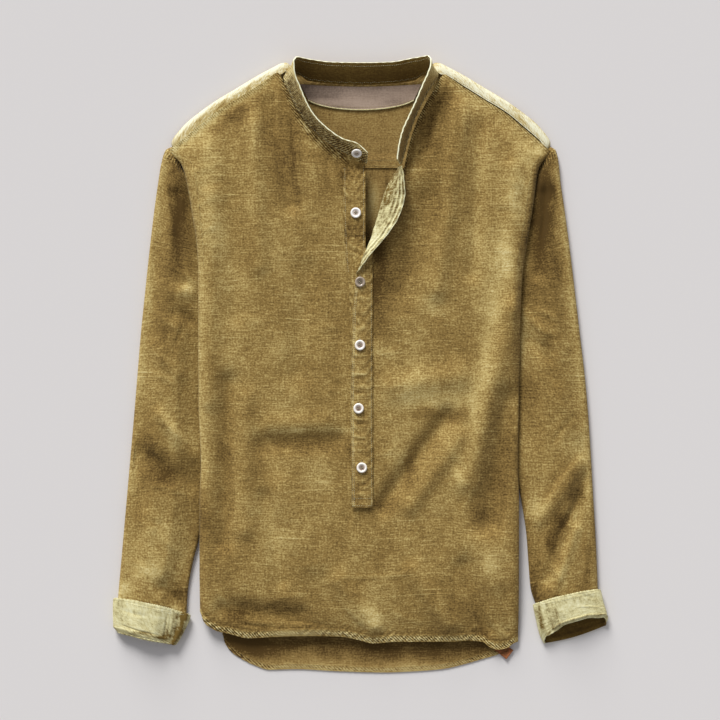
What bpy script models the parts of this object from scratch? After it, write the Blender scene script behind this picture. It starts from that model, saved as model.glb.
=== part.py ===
"""A half-placket shirt with a band collar, laid flat with its front up.

Metres, +Z up, +X to the viewer's right and +Y towards the collar. The sizes below are in
millimetres and become metres as each mesh is made. Every wall is a surface through the
middle of the cloth, which Solidify then gives its thickness.
"""
import math
from bisect import bisect_right
from collections import namedtuple

import bmesh
import bpy
from mathutils import Vector

MM = 0.001
ORIGIN = Vector((-0.99, -1.66, 0.0))  # what is taken off to bring the footprint's middle to zero

# ---- cloth and seams -------------------------------------------------------------------
LINEN = 1.2                       # wall of the panels and sleeves
BAND_WALL = 1.6                   # collar band, two layers and an interlining
CUFF_WALL = 2.0                   # turned-up cuff, two layers
SEAM = 0.9                        # open seam between two edges that meet
LIFT = 1.85                       # middle of one wall to the middle of the wall that lies on it
FLOOR = LINEN / 2                 # middle of a wall that lies on the surface

# ---- body ------------------------------------------------------------------------------
FOOT_Y = -165.0                   # line of the placket's foot
FOOT_X = 1.5
BACK_TOP_Y = 248.5                # upper edge of the back, under the yoke's seam
YOKE_EDGE_Y = 238.0               # lower edge of the yoke, inside
YOKE_STEP_Y = (249.5, 254.0)      # where the yoke steps down off the back
ROLL_RADIUS = 11.0                # rounding of the body's sides
ROLL_UNDER = ((22.0, 0.0), (14.0, 0.16), (7.0, 0.42), (2.6, 0.72))   # (inwards, share of the rise)
BACK_MARGIN = 12.0                # the back's edge, inside the body's side

Side = namedtuple("Side", "y left right rise")
SIDES = (
    Side(-340, -194.8, 190.3, 4.0),
    Side(-300, -194.8, 190.8, 8.0),
    Side(-250, -195.2, 191.0, 10.5),
    Side(-165, -195.0, 191.0, 11.5),
    Side(-121, -193.4, 189.6, 11.5),
    Side(-44, -196.2, 190.8, 12.0),
    Side(44, -196.5, 192.2, 12.0),
    Side(107, -196.5, 195.2, 12.0),
    Side(145, -198.4, 200.6, 12.0),
    Side(175, -202.9, 205.4, 12.0),
    Side(200, -207.0, 209.0, 11.5),
    Side(233, -213.8, 213.8, 10.5),
    Side(243, -218.0, 218.0, 10.0),
    Side(259, -231.0, 229.0, 8.5),
)

Edge = namedtuple("Edge", "x y")
FRONT_HEM = (
    Edge(-195, -300), Edge(-190, -312), Edge(-183.7, -318), Edge(-172, -324), Edge(-160, -326.5),
    Edge(-136, -332), Edge(-101, -330.2), Edge(-59, -329.3), Edge(-24, -330.2), Edge(0, -335),
    Edge(15, -338.5), Edge(43, -336.4), Edge(112, -336.4), Edge(130, -335), Edge(147, -336.6),
    Edge(157, -343.4), Edge(166, -346.3), Edge(179, -343.4), Edge(184, -339), Edge(191, -336.6),
)
TAIL_HEM = (
    Edge(-168, -329), Edge(-165.5, -338), Edge(-158, -349), Edge(-145, -358), Edge(-129, -366),
    Edge(-111, -371.4), Edge(-80, -370.6), Edge(-24, -373.4), Edge(28, -374.7), Edge(63, -373.4),
    Edge(98, -370.6), Edge(126, -364.5), Edge(147, -358.4), Edge(167, -352.4), Edge(172, -349),
)

Top = namedtuple("Top", "share x y")
LEFT_TOP = (
    Top(0.00, -231, 259), Top(0.10, -213, 273), Top(0.20, -194, 289), Top(0.32, -170, 307.6),
    Top(0.44, -147, 321.8), Top(0.55, -123, 336.6), Top(0.66, -101, 349), Top(0.72, -90, 331),
    Top(0.78, -78, 305), Top(0.85, -62, 284), Top(0.92, -38, 263.7), Top(1.00, -17, 252.5),
)
RIGHT_TOP = (
    Top(0.00, 51, 233), Top(0.07, 54.5, 249), Top(0.14, 60, 272), Top(0.20, 67, 293),
    Top(0.26, 77, 314), Top(0.32, 89, 334), Top(0.38, 101, 349), Top(0.47, 125, 335.5),
    Top(0.58, 150, 320), Top(0.69, 176, 304), Top(0.80, 196, 287.4), Top(0.90, 213, 273),
    Top(1.00, 229, 259),
)

Slit = namedtuple("Slit", "y left right")
SLIT = (
    Slit(-165, 1.5, 1.5), Slit(-150, -8, 10), Slit(95, -10, 10), Slit(113, -11, 10),
    Slit(128, -12, 10.5), Slit(157, -14, 14.5), Slit(176, -15, 19), Slit(190, -16, 24),
    Slit(213, -17, 33), Slit(233, -18, 50),
)

Rise = namedtuple("Rise", "y height")
BODY_RISE = (
    Rise(-346, 7.0), Rise(-325, 11.0), Rise(-295, 16.0), Rise(-240, 18.5), Rise(-100, 19.5),
    Rise(80, 20.5), Rise(220, 20.5), Rise(300, 18),
)
EDGE_RISE = 11.6                  # the front's height where it meets the yoke and the collar
EDGE_REACH = 26.0
LAP_START_Y = 212.0               # where the rolled side climbs from the back onto the yoke
LAP_RAMP = 18.0

Fold = namedtuple("Fold", "x0 y0 x1 y1 width height")
FRONT_FOLDS = (
    Fold(-113, 318, -84, 193, 11, -7.0),      # trough beside the collar, left
    Fold(-130, 290, -122, 120, 10, 4.0),      # its crest
    Fold(-160, 285, -152, 60, 12, -3.0),
    Fold(-181, 205, -183, -44, 11, 3.5),      # roll along the left side
    Fold(-160, -22, -166, -214, 12, -7.5),    # long trough low on the left side
    Fold(-138, -40, -140, -200, 11, 3.0),     # its crest
    Fold(-118, -96, -26, -92, 12, -5.0),      # shallow trough across the waist, left
    Fold(-110, -74, -45, -70, 11, 3.0),
    Fold(-66, 110, -75, -10, 17, -4.0),
    Fold(-97, -150, -60, -240, 16, 4.0),
    Fold(-118, -160, -96, -262, 9, -4.0),
    Fold(104, 325, 62, 246, 12, -7.0),        # trough beside the collar, right
    Fold(121, 318, 92, 90, 12, 6.0),          # ridge down the right chest
    Fold(144, 290, 134, 110, 10, -4.0),
    Fold(80, 199, 50, 92, 18, -6.0),          # hollow under the turned flap
    Fold(183, 235, 184, 66, 12, 4.5),         # roll along the right armhole
    Fold(184, 66, 130, -141, 15, 6.5),        # its slant down to the waist
    Fold(176, -44, 155, -190, 16, -8.0),
    Fold(104, -64, 24, -172, 11, -8.0),       # slanting trough below the chest
    Fold(41, -28, 116, -15, 16, 5.0),
    Fold(120, -88, 60, -172, 10, 4.0),
    Fold(150, -215, 162, -262, 16, 4.5),
    Fold(-165, -296, -74, -303, 11, -5.5),    # shade above the hem, left
    Fold(-25, -262, 14, -318, 11, 5.0),
    Fold(62, -250, 105, -315, 11, 5.0),
    Fold(125, -245, 150, -320, 12, -6.0),
)
PLACKET_HOLD = 20.0               # half width of the cloth that the doubled placket keeps flat
PLACKET_KEEP = 0.25               # share of the folds that stays there
HOLD_START_Y = -200.0             # below the placket's foot, where its hold fades out
HOLD_RAMP = 30.0

# ---- yoke ------------------------------------------------------------------------------
Yoke = namedtuple("Yoke", "x fold_y end_y end_z")
YOKE = (
    Yoke(0, 339.0, 341.5, 0.6), Yoke(60, 340.5, 344.0, 0.6), Yoke(70, 345.5, 348.0, 1.2),
    Yoke(77, 353.0, 353.0, 3.4), Yoke(84, 361.0, 357.0, 6.6), Yoke(91, 364.5, 354.6, 10.0),
    Yoke(97, 363.5, 350.6, 11.4), Yoke(101, 361.5, 350.0, 11.6), Yoke(125, 348.8, 336.2, 11.6),
    Yoke(150, 333.8, 320.6, 11.6), Yoke(176, 318.2, 304.8, 11.6), Yoke(196, 304.0, 288.4, 11.4),
    Yoke(213, 290.0, 274.0, 10.8), Yoke(225, 276.0, 263.0, 9.6), Yoke(232, 265.5, 259.6, 8.6),
)
YOKE_LOW_HALF = 201.0             # half width of the yoke at its inside edge
YOKE_WIDENS_OVER = 34.0           # how far up the yoke takes its full width
ROLL_STARTS = (70.0, 90.0)        # where the neck's flat edge turns into the shoulder's roll
FLAT_END = 4.0                    # from the flat part's end to the yoke's edge, at the neck
ROLL_END = 6.0                    # the same, where it rolls over the shoulder
STEP_CLEAR = 2.0                  # from the step to the roll, at the least
SURFACE_CLEAR = (0.06, 0.1)       # how far the yoke stays off the surface: at its step, in its roll

# ---- collar ----------------------------------------------------------------------------
Band = namedtuple("Band", "share base_x base_y base_z top_x top_y rise")
COLLAR = (
    Band(0.00, 7.0, 243.0, 13.6, 8.0, 255.0, 13.0),
    Band(0.03, -5.0, 249.5, 13.6, -5.5, 266.5, 15.0),
    Band(0.08, -19.0, 255.5, 13.4, -21.0, 271.0, 18.0),
    Band(0.14, -36.0, 265.3, 13.2, -39.0, 282.5, 22.0),
    Band(0.21, -60.0, 286.0, 13.2, -54.5, 297.0, 25.0),
    Band(0.27, -75.6, 306.5, 13.2, -64.5, 312.5, 26.0),
    Band(0.32, -87.0, 330.0, 13.2, -73.5, 334.0, 26.0),
    Band(0.36, -92.4, 344.5, 13.4, -79.5, 350.0, 26.0),
    Band(0.385, -87.5, 353.6, 12.0, -80.6, 364.0, 25.5),
    Band(0.41, -76.0, 351.0, 7.8, -76.0, 369.6, 24.0),
    Band(0.44, -63.0, 343.5, 3.6, -64.0, 368.0, 20.0),
    Band(0.50, -34.0, 340.4, 2.7, -34.8, 364.6, 16.5),
    Band(0.56, 0.0, 339.0, 2.7, 0.0, 364.0, 16.0),
    Band(0.62, 33.0, 340.4, 2.7, 33.5, 364.6, 16.5),
    Band(0.68, 63.0, 344.0, 3.6, 66.0, 369.5, 20.0),
    Band(0.71, 77.0, 351.5, 7.8, 80.0, 371.0, 24.5),
    Band(0.735, 89.0, 355.4, 12.2, 83.8, 363.5, 27.0),
    Band(0.76, 92.4, 348.5, 13.4, 81.0, 351.0, 28.0),
    Band(0.81, 83.4, 334.0, 13.2, 74.5, 337.0, 28.5),
    Band(0.86, 72.5, 314.5, 13.2, 66.0, 316.5, 28.5),
    Band(0.90, 63.4, 294.0, 13.2, 58.0, 299.0, 28.5),
    Band(0.94, 56.6, 272.6, 13.2, 49.0, 278.0, 28.0),
    Band(0.97, 51.0, 251.0, 13.4, 45.0, 260.0, 27.5),
    Band(1.00, 47.5, 241.5, 13.8, 43.5, 246.0, 26.5),
)
BAND_BOW = 1.6                    # how far the band bows outwards, half way up
BAND_PARTS = (0.0, 0.33, 0.67, 1.0)
FACING_LOW_Y = 308.5              # lowest point of the neck facing's curve
FACING_END_Y = 327.0              # where that curve meets the facing's ends
FACING_HIGH_Y = 336.6             # upper edge of the facing, at the middle
FACING_HIGH_RISE = 3.2            # how much higher that edge is at the ends
FACING_HALF = 64.0
FACING_ROUND = 5.0                # keeps the curve's ends from turning upright
FACING_THINNER = 0.2              # how much thinner than the linen the facing is

# ---- placket ---------------------------------------------------------------------------
Placket = namedtuple("Placket", "y seam_x flat folded lean")
PLACKET_OVER = (
    Placket(-173, 14.6, 26.0, 0.0, 0), Placket(-60, 14.0, 26.5, 0.0, 0),
    Placket(60, 14.0, 24.0, 0.0, 0), Placket(107, 14.0, 19.6, 0.0, 0),
    Placket(114, 14.1, 17.0, 4.0, 110), Placket(122, 14.3, 14.2, 7.5, 130),
    Placket(130, 14.6, 12.0, 10.5, 140), Placket(143, 15.6, 7.6, 16.0, 150),
    Placket(158, 17.6, 4.2, 23.0, 155), Placket(176, 21.5, 3.0, 28.5, 162),
    Placket(190, 25.5, 3.0, 29.5, 164), Placket(203, 29.8, 3.0, 29.5, 156),
    Placket(215, 35.0, 3.0, 28.5, 138), Placket(228, 42.5, 3.0, 27.5, 116),
    Placket(238, 47.6, 2.4, 26.5, 100),
)
TURN_RADIUS = 2.6                 # of the placket's turned fold
STAND_DROP = 0.6                  # how far the button stand sinks between the two fronts
STAND_CLEAR = (0.1, 0.6)          # what the stand keeps off the front: below, and at the neck
STAND_CLEAR_Y = 190.0
STAND_CLEAR_RAMP = 30.0
FOOT_CLEAR = 0.5                  # what the top placket keeps off the front at its foot
FOOT_CLEAR_RAMP = 20.0
LOOSE_Y = 106.0                   # from here up the top placket no longer follows the front
LOOSE_RAMP = 24.0
LIFT_FADES_Y = 100.0              # from here up the top placket sinks from the stand's height
LIFT_FADES_RAMP = 60.0
LIFT_SLOPE = 8.0                  # how far in from its seam the top placket reaches that height
CLOSED_Y = 100.0                  # the placket is closed below this line
Strip = namedtuple("Strip", "y left right")
PLACKET_UNDER = (
    Strip(-158, -11, 8), Strip(90, -14, 8), Strip(120, -18, 6), Strip(170, -20.5, 5.2),
    Strip(239, -21.5, 5.2),
)

# ---- sleeves and cuffs -----------------------------------------------------------------
Ring = namedtuple("Ring", "station outer_x outer_y inner_x inner_y crest")
LEFT_SLEEVE = (
    Ring(0, -236.2, 261.2, -225.2, 248.8, 9.5), Ring(20, -241.6, 244, -213, 222, 11.5),
    Ring(45, -245.6, 220, -206, 196, 13), Ring(75, -249.8, 190, -201.5, 170, 13),
    Ring(110, -254, 156, -196.4, 144, 13), Ring(140, -257.4, 126, -194.4, 119, 14),
    Ring(185, -262, 82, -193.6, 80, 15), Ring(230, -266.5, 38, -193.5, 38, 16),
    Ring(275, -270.5, -10, -193.3, -8, 16), Ring(320, -274.6, -60, -192.6, -58, 16),
    Ring(365, -279.2, -112, -190.6, -108, 16), Ring(410, -283.4, -160, -191.8, -156, 16),
    Ring(450, -287.4, -205, -195.4, -203, 15.5), Ring(485, -290.8, -244, -205, -243, 15.5),
    Ring(510, -293, -268, -210.5, -276, 15), Ring(528, -294.6, -287.9, -212.2, -305.2, 14.5),
)
RIGHT_SLEEVE = (
    Ring(0, 235.6, 261.4, 223.6, 248.8, 9.5), Ring(20, 239.4, 244, 212.8, 223, 11.5),
    Ring(45, 241.8, 220, 207.8, 198, 13), Ring(75, 246.4, 188, 202.0, 170, 13),
    Ring(110, 251, 154, 198.0, 142, 13), Ring(140, 254.8, 124, 193.6, 116, 14),
    Ring(185, 260, 80, 190.4, 78, 15), Ring(230, 265.4, 34, 188.8, 34, 16),
    Ring(275, 271, -14, 187.6, -12, 16), Ring(320, 275.4, -64, 187.2, -62, 16),
    Ring(365, 278.6, -114, 186.6, -110, 16), Ring(410, 281.2, -160, 194.6, -164, 16),
    Ring(450, 284, -206, 201.2, -208, 15.5), Ring(485, 285.6, -240, 203.8, -244, 15.5),
    Ring(508, 286.4, -260, 206.2, -272, 15), Ring(524, 286.8, -275.4, 212.6, -291.2, 14.5),
)
CORNER_RISE = 0.1                 # keeps a rounded side's wall off the surface
LEAST_HEIGHT = 3.6                # between a sleeve's two layers, however deep a fold is
SLEEVE_OUTER = 10.0               # height of the outer fold
SLEEVE_INNER = 6.4                # height of the fold that lies under the body's side
LEFT_SLEEVE_FOLDS = (
    Fold(-226, 88, -206, 86, 8, 2.0), Fold(-222, 62, -206, 54, 8, -3.5),
    Fold(-243, -62, -204, -112, 8, 4.0), Fold(-270, -112, -206, -142, 14, -5.0),
    Fold(-222, 205, -216, 100, 8, -4.0), Fold(-262, -190, -240, -250, 12, 2.5),
    Fold(-240, -272, -215, -292, 8, -4.0), Fold(-252, 20, -222, -12, 9, 2.0),
)
RIGHT_SLEEVE_FOLDS = (
    Fold(220, 205, 214, 110, 9, -4.5), Fold(200, 60, 222, 36, 7, 3.0),
    Fold(204, 30, 226, 10, 8, -3.5), Fold(266, -122, 216, -188, 9, 4.0),
    Fold(275, -140, 226, -262, 10, -5.0), Fold(258, -200, 230, -280, 7, 4.0),
    Fold(268, -150, 278, -262, 7, 2.0), Fold(240, -40, 264, -80, 12, 2.5),
)
Cuff = namedtuple("Cuff", "share outer_x outer_y inner_x inner_y lip mouth")
LEFT_CUFF = (
    Cuff(0.00, -300.0, -287.2, -206.6, -306.9, 7, 0), Cuff(0.35, -300.0, -301, -212.4, -320, 0, 0),
    Cuff(0.80, -299.4, -317, -220, -334, 0, 0), Cuff(1.00, -294.5, -325.5, -224.4, -340.4, 0, 0),
)
RIGHT_CUFF = (
    Cuff(0.00, 290.2, -276.0, 208.6, -293.6, 6, 0), Cuff(0.35, 293.6, -291, 212.5, -311, 0, 4),
    Cuff(0.80, 297.6, -308, 217, -330, 0, 13), Cuff(1.00, 298.0, -317, 221.6, -339.4, 0, 18),
)
CUFF_CREST = 19.0
CUFF_SIDE = 13.0                  # height of the cuff's outer side
CUFF_INNER_SIDE = 11.0            # height of its inner side
CUFF_ROWS = 5

# ---- buttons and tab -------------------------------------------------------------------
Button = namedtuple("Button", "x y")
BUTTONS = (Button(-5.2, 254.6), Button(-6.3, 182.4), Button(-1.0, 99.0), Button(-1.2, 22.8),
           Button(-2.9, -53.5), Button(1.0, -125.0))
BUTTON_RADIUS = 6.3
BUTTON_HEIGHT = 2.3
DISH_HEIGHT = 0.72                # share of the height at the button's sunk middle
RIM_WIDTH = 1.8
RIM_SLOPE = 0.6                   # from the sunk middle up to the rim
EDGE_ROUND = 0.5
BUTTON_CLEAR = 0.3                # between the button and the cloth it is sewn to
HOLE_RADIUS = 0.8
HOLE_PLACE = 1.7                  # from hole to hole
BUTTON_SIDES = 12
HOLE_SIDES = 5
BAND_BUTTON_Y = 241.0             # the button above this line sits on the collar band
OPEN_BUTTON_Y = 110.0             # buttons above this line sit on the button stand alone
SEAT_CLEAR = 0.2                  # what a button's seat adds for the cloth's waves
BAND_SEAT_CLEAR = 2.5             # the same on the band, which curves under the button
BAND_SEAT_STEPS = 12              # the band's first hundredths, where that button is looked for
Tab = namedtuple("Tab", "x y")
TAB_CORNERS = (Tab(161.5, -347.0), Tab(176.4, -358.4), Tab(185.0, -347.4), Tab(170.0, -337.0))

# ---- how finely the walls are divided ---------------------------------------------------
LOW_ROWS = 10
HIGH_ROWS = 24
HALF_COLUMNS = 16
SIDE_CROWDING = 1.5               # draws the front's columns together at its sides
BACK_COLUMNS = 18
BACK_ROWS = 12
TAIL_CROWDING = 1.4               # draws the back's rows together at the tail
TAIL_SWEEP = 9.0                  # how fast the tail's outline runs into the back's sides
YOKE_SPANS = ((0.0, 66.0, 4), (66.0, 102.0, 7), (102.0, YOKE[-1].x, 6))     # (from, to, columns)
YOKE_ROLL_ROWS = 5
COLLAR_COLUMNS = 44
FACING_COLUMNS = 16
STAND_ROWS = 22
OVER_PARTS = 10
OVER_STEPS = 40                   # short steps along the top placket's section
CLOSED_ROWS = 12
TURNED_ROWS = 16
SLEEVE_ROWS = 26


# ---- reading the tables ----------------------------------------------------------------
def read(rows, at, column):
    """Give a column's value at a place between rows, on a smooth curve that never overshoots."""
    keys = [row[0] for row in rows]
    values = [getattr(row, column) for row in rows]
    if at <= keys[0]:
        return values[0]
    if at >= keys[-1]:
        return values[-1]
    low = bisect_right(keys, at) - 1
    slopes = [slope(keys, values, spot) for spot in (low, low + 1)]
    span = keys[low + 1] - keys[low]
    t = (at - keys[low]) / span
    return (values[low] * (2 * t ** 3 - 3 * t ** 2 + 1) + slopes[0] * span * (t ** 3 - 2 * t ** 2 + t)
            + values[low + 1] * (3 * t ** 2 - 2 * t ** 3) + slopes[1] * span * (t ** 3 - t ** 2))


def slope(keys, values, spot):
    """Give the curve's slope at a row, zero at a peak or at either end."""
    if spot == 0 or spot == len(keys) - 1:
        return 0.0
    before = (values[spot] - values[spot - 1]) / (keys[spot] - keys[spot - 1])
    after = (values[spot + 1] - values[spot]) / (keys[spot + 1] - keys[spot])
    if before * after <= 0:
        return 0.0
    return 2 * before * after / (before + after)


def mix(start, end, share):
    """Go from start to end by a share."""
    return start + (end - start) * share


def ease(share):
    """Go softly from 0 to 1."""
    share = max(0.0, min(1.0, share))
    return share * share * (3 - 2 * share)


def folded(folds, x, y):
    """Give the height that the table's folds add at a point."""
    total = 0.0
    for fold in folds:
        along_x = fold.x1 - fold.x0
        along_y = fold.y1 - fold.y0
        share = ((x - fold.x0) * along_x + (y - fold.y0) * along_y) / (along_x ** 2 + along_y ** 2)
        share = max(0.0, min(1.0, share))
        away = math.hypot(x - fold.x0 - share * along_x, y - fold.y0 - share * along_y)
        total += fold.height * math.exp(-(away / fold.width) ** 2)
    return total


# ---- making objects --------------------------------------------------------------------
def clear_scene():
    """Take out whatever the file held."""
    for old in list(bpy.data.objects):
        bpy.data.objects.remove(old, do_unlink=True)


def new_collection(name):
    """Make a collection in the scene."""
    made = bpy.data.collections.new(name)
    bpy.context.scene.collection.children.link(made)
    return made


def finish(name, colour, roughness):
    """Make a plain material."""
    made = bpy.data.materials.new(name)
    made.use_nodes = True
    shader = made.node_tree.nodes["Principled BSDF"]
    shader.inputs["Base Color"].default_value = (*colour, 1.0)
    shader.inputs["Roughness"].default_value = roughness
    shader.inputs["Metallic"].default_value = 0.0
    return made


def place(point):
    """Turn a point in millimetres into the model's own frame."""
    return (Vector(point) - ORIGIN) * MM


def wall(name, points, closed, thickness, material, collection, even=True):
    """Make a wall through rows of points, each row closed into a ring or left open."""
    mesh = bpy.data.meshes.new(name)
    build = bmesh.new()
    rows = [[build.verts.new(place(point)) for point in row] for row in points]
    for first, second in zip(rows, rows[1:]):
        count = len(first)
        for spot in range(count if closed else count - 1):
            after = (spot + 1) % count
            build.faces.new((first[spot], first[after], second[after], second[spot]))
    bmesh.ops.remove_doubles(build, verts=build.verts, dist=0.00001)
    bmesh.ops.recalc_face_normals(build, faces=build.faces)
    build.to_mesh(mesh)
    build.free()
    mesh.shade_smooth()
    return thicken(name, mesh, thickness, material, collection, even)


def thicken(name, mesh, thickness, material, collection, even=True):
    """Give an open surface its wall, half to either side."""
    mesh.materials.append(material)
    made = bpy.data.objects.new(name, mesh)
    collection.objects.link(made)
    solid = made.modifiers.new("cloth wall", "SOLIDIFY")
    solid.thickness = thickness * MM
    solid.offset = 0.0
    solid.use_even_offset = even
    return made


# ---- body front ------------------------------------------------------------------------
def front_height(x, y, top_y):
    """Give the height of the front's middle surface, away from its rolled sides."""
    held = math.exp(-((x - FOOT_X) / PLACKET_HOLD) ** 4) * ease((y - HOLD_START_Y) / HOLD_RAMP)
    folds = folded(FRONT_FOLDS, x, y) * mix(1.0, PLACKET_KEEP, held)
    plain = read(BODY_RISE, y, "height") + folds
    near_edge = math.exp(-((top_y - y) / EDGE_REACH) ** 2)
    return mix(plain, EDGE_RISE, near_edge)


def slit_at(y):
    """Give the x of both edges of the placket's slit."""
    return read(SLIT, y, "left"), read(SLIT, y, "right")


def half_shares():
    """Give the columns' shares from the side to the slit, closer together at the side."""
    plain = [spot / (HALF_COLUMNS - 1) for spot in range(HALF_COLUMNS)]
    return [mix(share ** SIDE_CROWDING, share, ease(share * 1.4)) for share in plain]


def front_point(side, share, climb):
    """Give a point of the front's middle surface.

    side is -1 or 1, share runs from the side (0) to the slit (1), and climb from the hem (0)
    through the placket's foot (1) to the upper edge (2).
    """
    tops = LEFT_TOP if side < 0 else RIGHT_TOP
    top_share = share if side < 0 else 1 - share
    top_x = read(tops, top_share, "x")
    top_y = read(tops, top_share, "y") - SEAM
    outer = "left" if side < 0 else "right"
    hem_x = mix(read(SIDES, -330, outer), FOOT_X, share)
    hem_y = read(FRONT_HEM, hem_x, "y")
    y = mix(hem_y, FOOT_Y, climb) if climb <= 1 else mix(FOOT_Y, top_y, climb - 1)
    edge = read(SIDES, y, outer)
    inner = slit_at(y)[0 if side < 0 else 1]
    top_edge = read(SIDES, top_y, outer)
    top_inner = slit_at(top_y)[0 if side < 0 else 1]
    top_part = (top_x - top_edge) / (top_inner - top_edge)
    part = mix(share, top_part, ease(climb - 1)) if climb > 1 else share
    x = mix(edge, inner, part)
    height = front_height(x, y, top_y)
    side_rise = read(SIDES, y, "rise")
    inwards = abs(x - edge)
    if inwards < ROLL_RADIUS:
        bend = math.sqrt(1 - (1 - inwards / ROLL_RADIUS) ** 2)
        height = mix(side_rise, max(height, side_rise), bend)
    return x, y, height


def landing_height(y):
    """Give the height at which the rolled side comes to rest on the back or the yoke."""
    return mix(FLOOR + LIFT, FLOOR + 2 * LIFT, ease((y - LAP_START_Y) / LAP_RAMP))


def rolled_side(side, climb):
    """Give the points of the side that turn under, from where they rest to the edge."""
    x, y, rise = front_point(side, 0.0, climb)
    rest = landing_height(y)
    return [(x - side * inwards, y, mix(rest, rise, share)) for inwards, share in ROLL_UNDER]


def climbs():
    """Give the front's rows, from hem to upper edge."""
    low = [spot / LOW_ROWS for spot in range(LOW_ROWS)]
    return low + [1 + spot / HIGH_ROWS for spot in range(HIGH_ROWS + 1)]


def front_half(side):
    """Give the rows of points for one side of the front."""
    return [rolled_side(side, climb) + [front_point(side, share, climb) for share in half_shares()]
            for climb in climbs()]


def front_panel(material, collection):
    """Make the front as one piece, whose two sides part above the placket's foot."""
    mesh = bpy.data.meshes.new("front_panel")
    build = bmesh.new()
    for side in (-1, 1):
        rows = [[build.verts.new(place(point)) for point in row] for row in front_half(side)]
        for first, second in zip(rows, rows[1:]):
            for spot in range(len(first) - 1):
                corners = (first[spot], first[spot + 1], second[spot + 1], second[spot])
                build.faces.new(corners if side < 0 else corners[::-1])
    bmesh.ops.remove_doubles(build, verts=build.verts, dist=0.00001)
    build.to_mesh(mesh)
    build.free()
    mesh.shade_smooth()
    return thicken("front_panel", mesh, LINEN, material, collection)


# ---- body back -------------------------------------------------------------------------
def back_panel(material, collection):
    """Make the back, flat on the surface from its curved tail to the yoke's seam."""
    rows = []
    for row in range(BACK_ROWS + 1):
        climb = (row / BACK_ROWS) ** TAIL_CROWDING
        points = []
        for column in range(BACK_COLUMNS + 1):
            share = 0.5 - 0.5 * math.cos(math.pi * column / BACK_COLUMNS)
            tail_x = mix(TAIL_HEM[0].x, TAIL_HEM[-1].x, share)
            y = mix(read(TAIL_HEM, tail_x, "y"), BACK_TOP_Y, climb)
            left = read(SIDES, y, "left") + BACK_MARGIN
            right = read(SIDES, y, "right") - BACK_MARGIN
            x = mix(tail_x, mix(left, right, share), ease(climb * TAIL_SWEEP))
            points.append((x, y, FLOOR))
        rows.append(points)
    return wall("back_panel", rows, False, LINEN, material, collection)


# ---- yoke ------------------------------------------------------------------------------
def bezier(starts, t):
    """Give the point at a share of a curve with four control values."""
    weights = ((1 - t) ** 3, 3 * t * (1 - t) ** 2, 3 * t * t * (1 - t), t ** 3)
    return sum(weight * value for weight, value in zip(weights, starts))


def yoke_column(size):
    """Give a column of the yoke, from its inside edge up, over the shoulder and to the front."""
    reach = abs(size)
    fold_y = read(YOKE, reach, "fold_y")
    end_y = read(YOKE, reach, "end_y")
    end_z = read(YOKE, reach, "end_z")
    rolled = ease((reach - ROLL_STARTS[0]) / (ROLL_STARTS[1] - ROLL_STARTS[0]))
    low, step = YOKE_STEP_Y
    bend_y = max(min(fold_y, end_y) - mix(FLAT_END, ROLL_END, rolled), step + STEP_CLEAR)
    straight = (end_y - bend_y) / 3
    bulge = (fold_y - (bend_y + end_y) / 2) / 0.75
    handle = mix(straight, bulge, rolled)
    turn = math.pi * rolled
    overs = (bend_y, bend_y + handle, end_y - handle * math.cos(turn), end_y)
    ups = (FLOOR, FLOOR, max(FLOOR, end_z - handle * math.sin(turn)), end_z)
    path = [(YOKE_EDGE_Y, FLOOR + LIFT), (low, FLOOR + LIFT), (step, FLOOR + SURFACE_CLEAR[0]),
            (mix(step, bend_y, 0.5), FLOOR)]
    for spot in range(YOKE_ROLL_ROWS + 1):
        part = spot / YOKE_ROLL_ROWS
        path.append((bezier(overs, part), max(bezier(ups, part), FLOOR + SURFACE_CLEAR[1])))
    narrow = YOKE_LOW_HALF / YOKE[-1].x
    return [(size * mix(narrow, 1.0, ease((y - YOKE_EDGE_Y) / YOKE_WIDENS_OVER)), y, z) for y, z in path]


def back_yoke(material, collection):
    """Make the yoke, which lies inside the neck and rolls over both shoulders."""
    sizes = [mix(start, end, spot / count) for start, end, count in YOKE_SPANS for spot in range(count)]
    sizes.append(YOKE[-1].x)
    xs = [-size for size in reversed(sizes[1:])] + sizes
    return wall("back_yoke", [yoke_column(x) for x in xs], False, LINEN, material, collection, False)


# ---- collar ----------------------------------------------------------------------------
def collar_section(share):
    """Give the band's points from its seam to its upper edge."""
    base = Vector([read(COLLAR, share, name) for name in ("base_x", "base_y", "base_z")])
    top = Vector((read(COLLAR, share, "top_x"), read(COLLAR, share, "top_y"),
                  base.z + read(COLLAR, share, "rise")))
    return [base.lerp(top, part) + Vector((0, 0, BAND_BOW * math.sin(math.pi * part)))
            for part in BAND_PARTS]


def collar_band(material, collection):
    """Make the standing band, open at the front."""
    sections = [collar_section(spot / COLLAR_COLUMNS) for spot in range(COLLAR_COLUMNS + 1)]
    return wall("collar_band", sections, False, BAND_WALL, material, collection)


def neck_facing(material, collection):
    """Make the crescent that faces the back neck inside."""
    rows = []
    for part in (0.0, 0.5, 1.0):
        row = []
        for spot in range(FACING_COLUMNS + 1):
            x = mix(-FACING_HALF, FACING_HALF, spot / FACING_COLUMNS)
            bow = math.sqrt(1 - (x / (FACING_HALF + FACING_ROUND)) ** 2)
            low = mix(FACING_END_Y, FACING_LOW_Y, bow)
            high = FACING_HIGH_Y + FACING_HIGH_RISE * (x / FACING_HALF) ** 2
            row.append((x, mix(low, high, part), FLOOR + LIFT - FACING_THINNER))
        rows.append(row)
    return wall("neck_facing", rows, False, LINEN - FACING_THINNER, material, collection)


# ---- placket ---------------------------------------------------------------------------
def ground(x, y):
    """Give the front's height under the placket, carried smoothly across the slit."""
    side = -1 if x < FOOT_X else 1
    tops = LEFT_TOP if side < 0 else RIGHT_TOP
    return front_height(x, y, tops[-1].y if side < 0 else tops[0].y)


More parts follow.
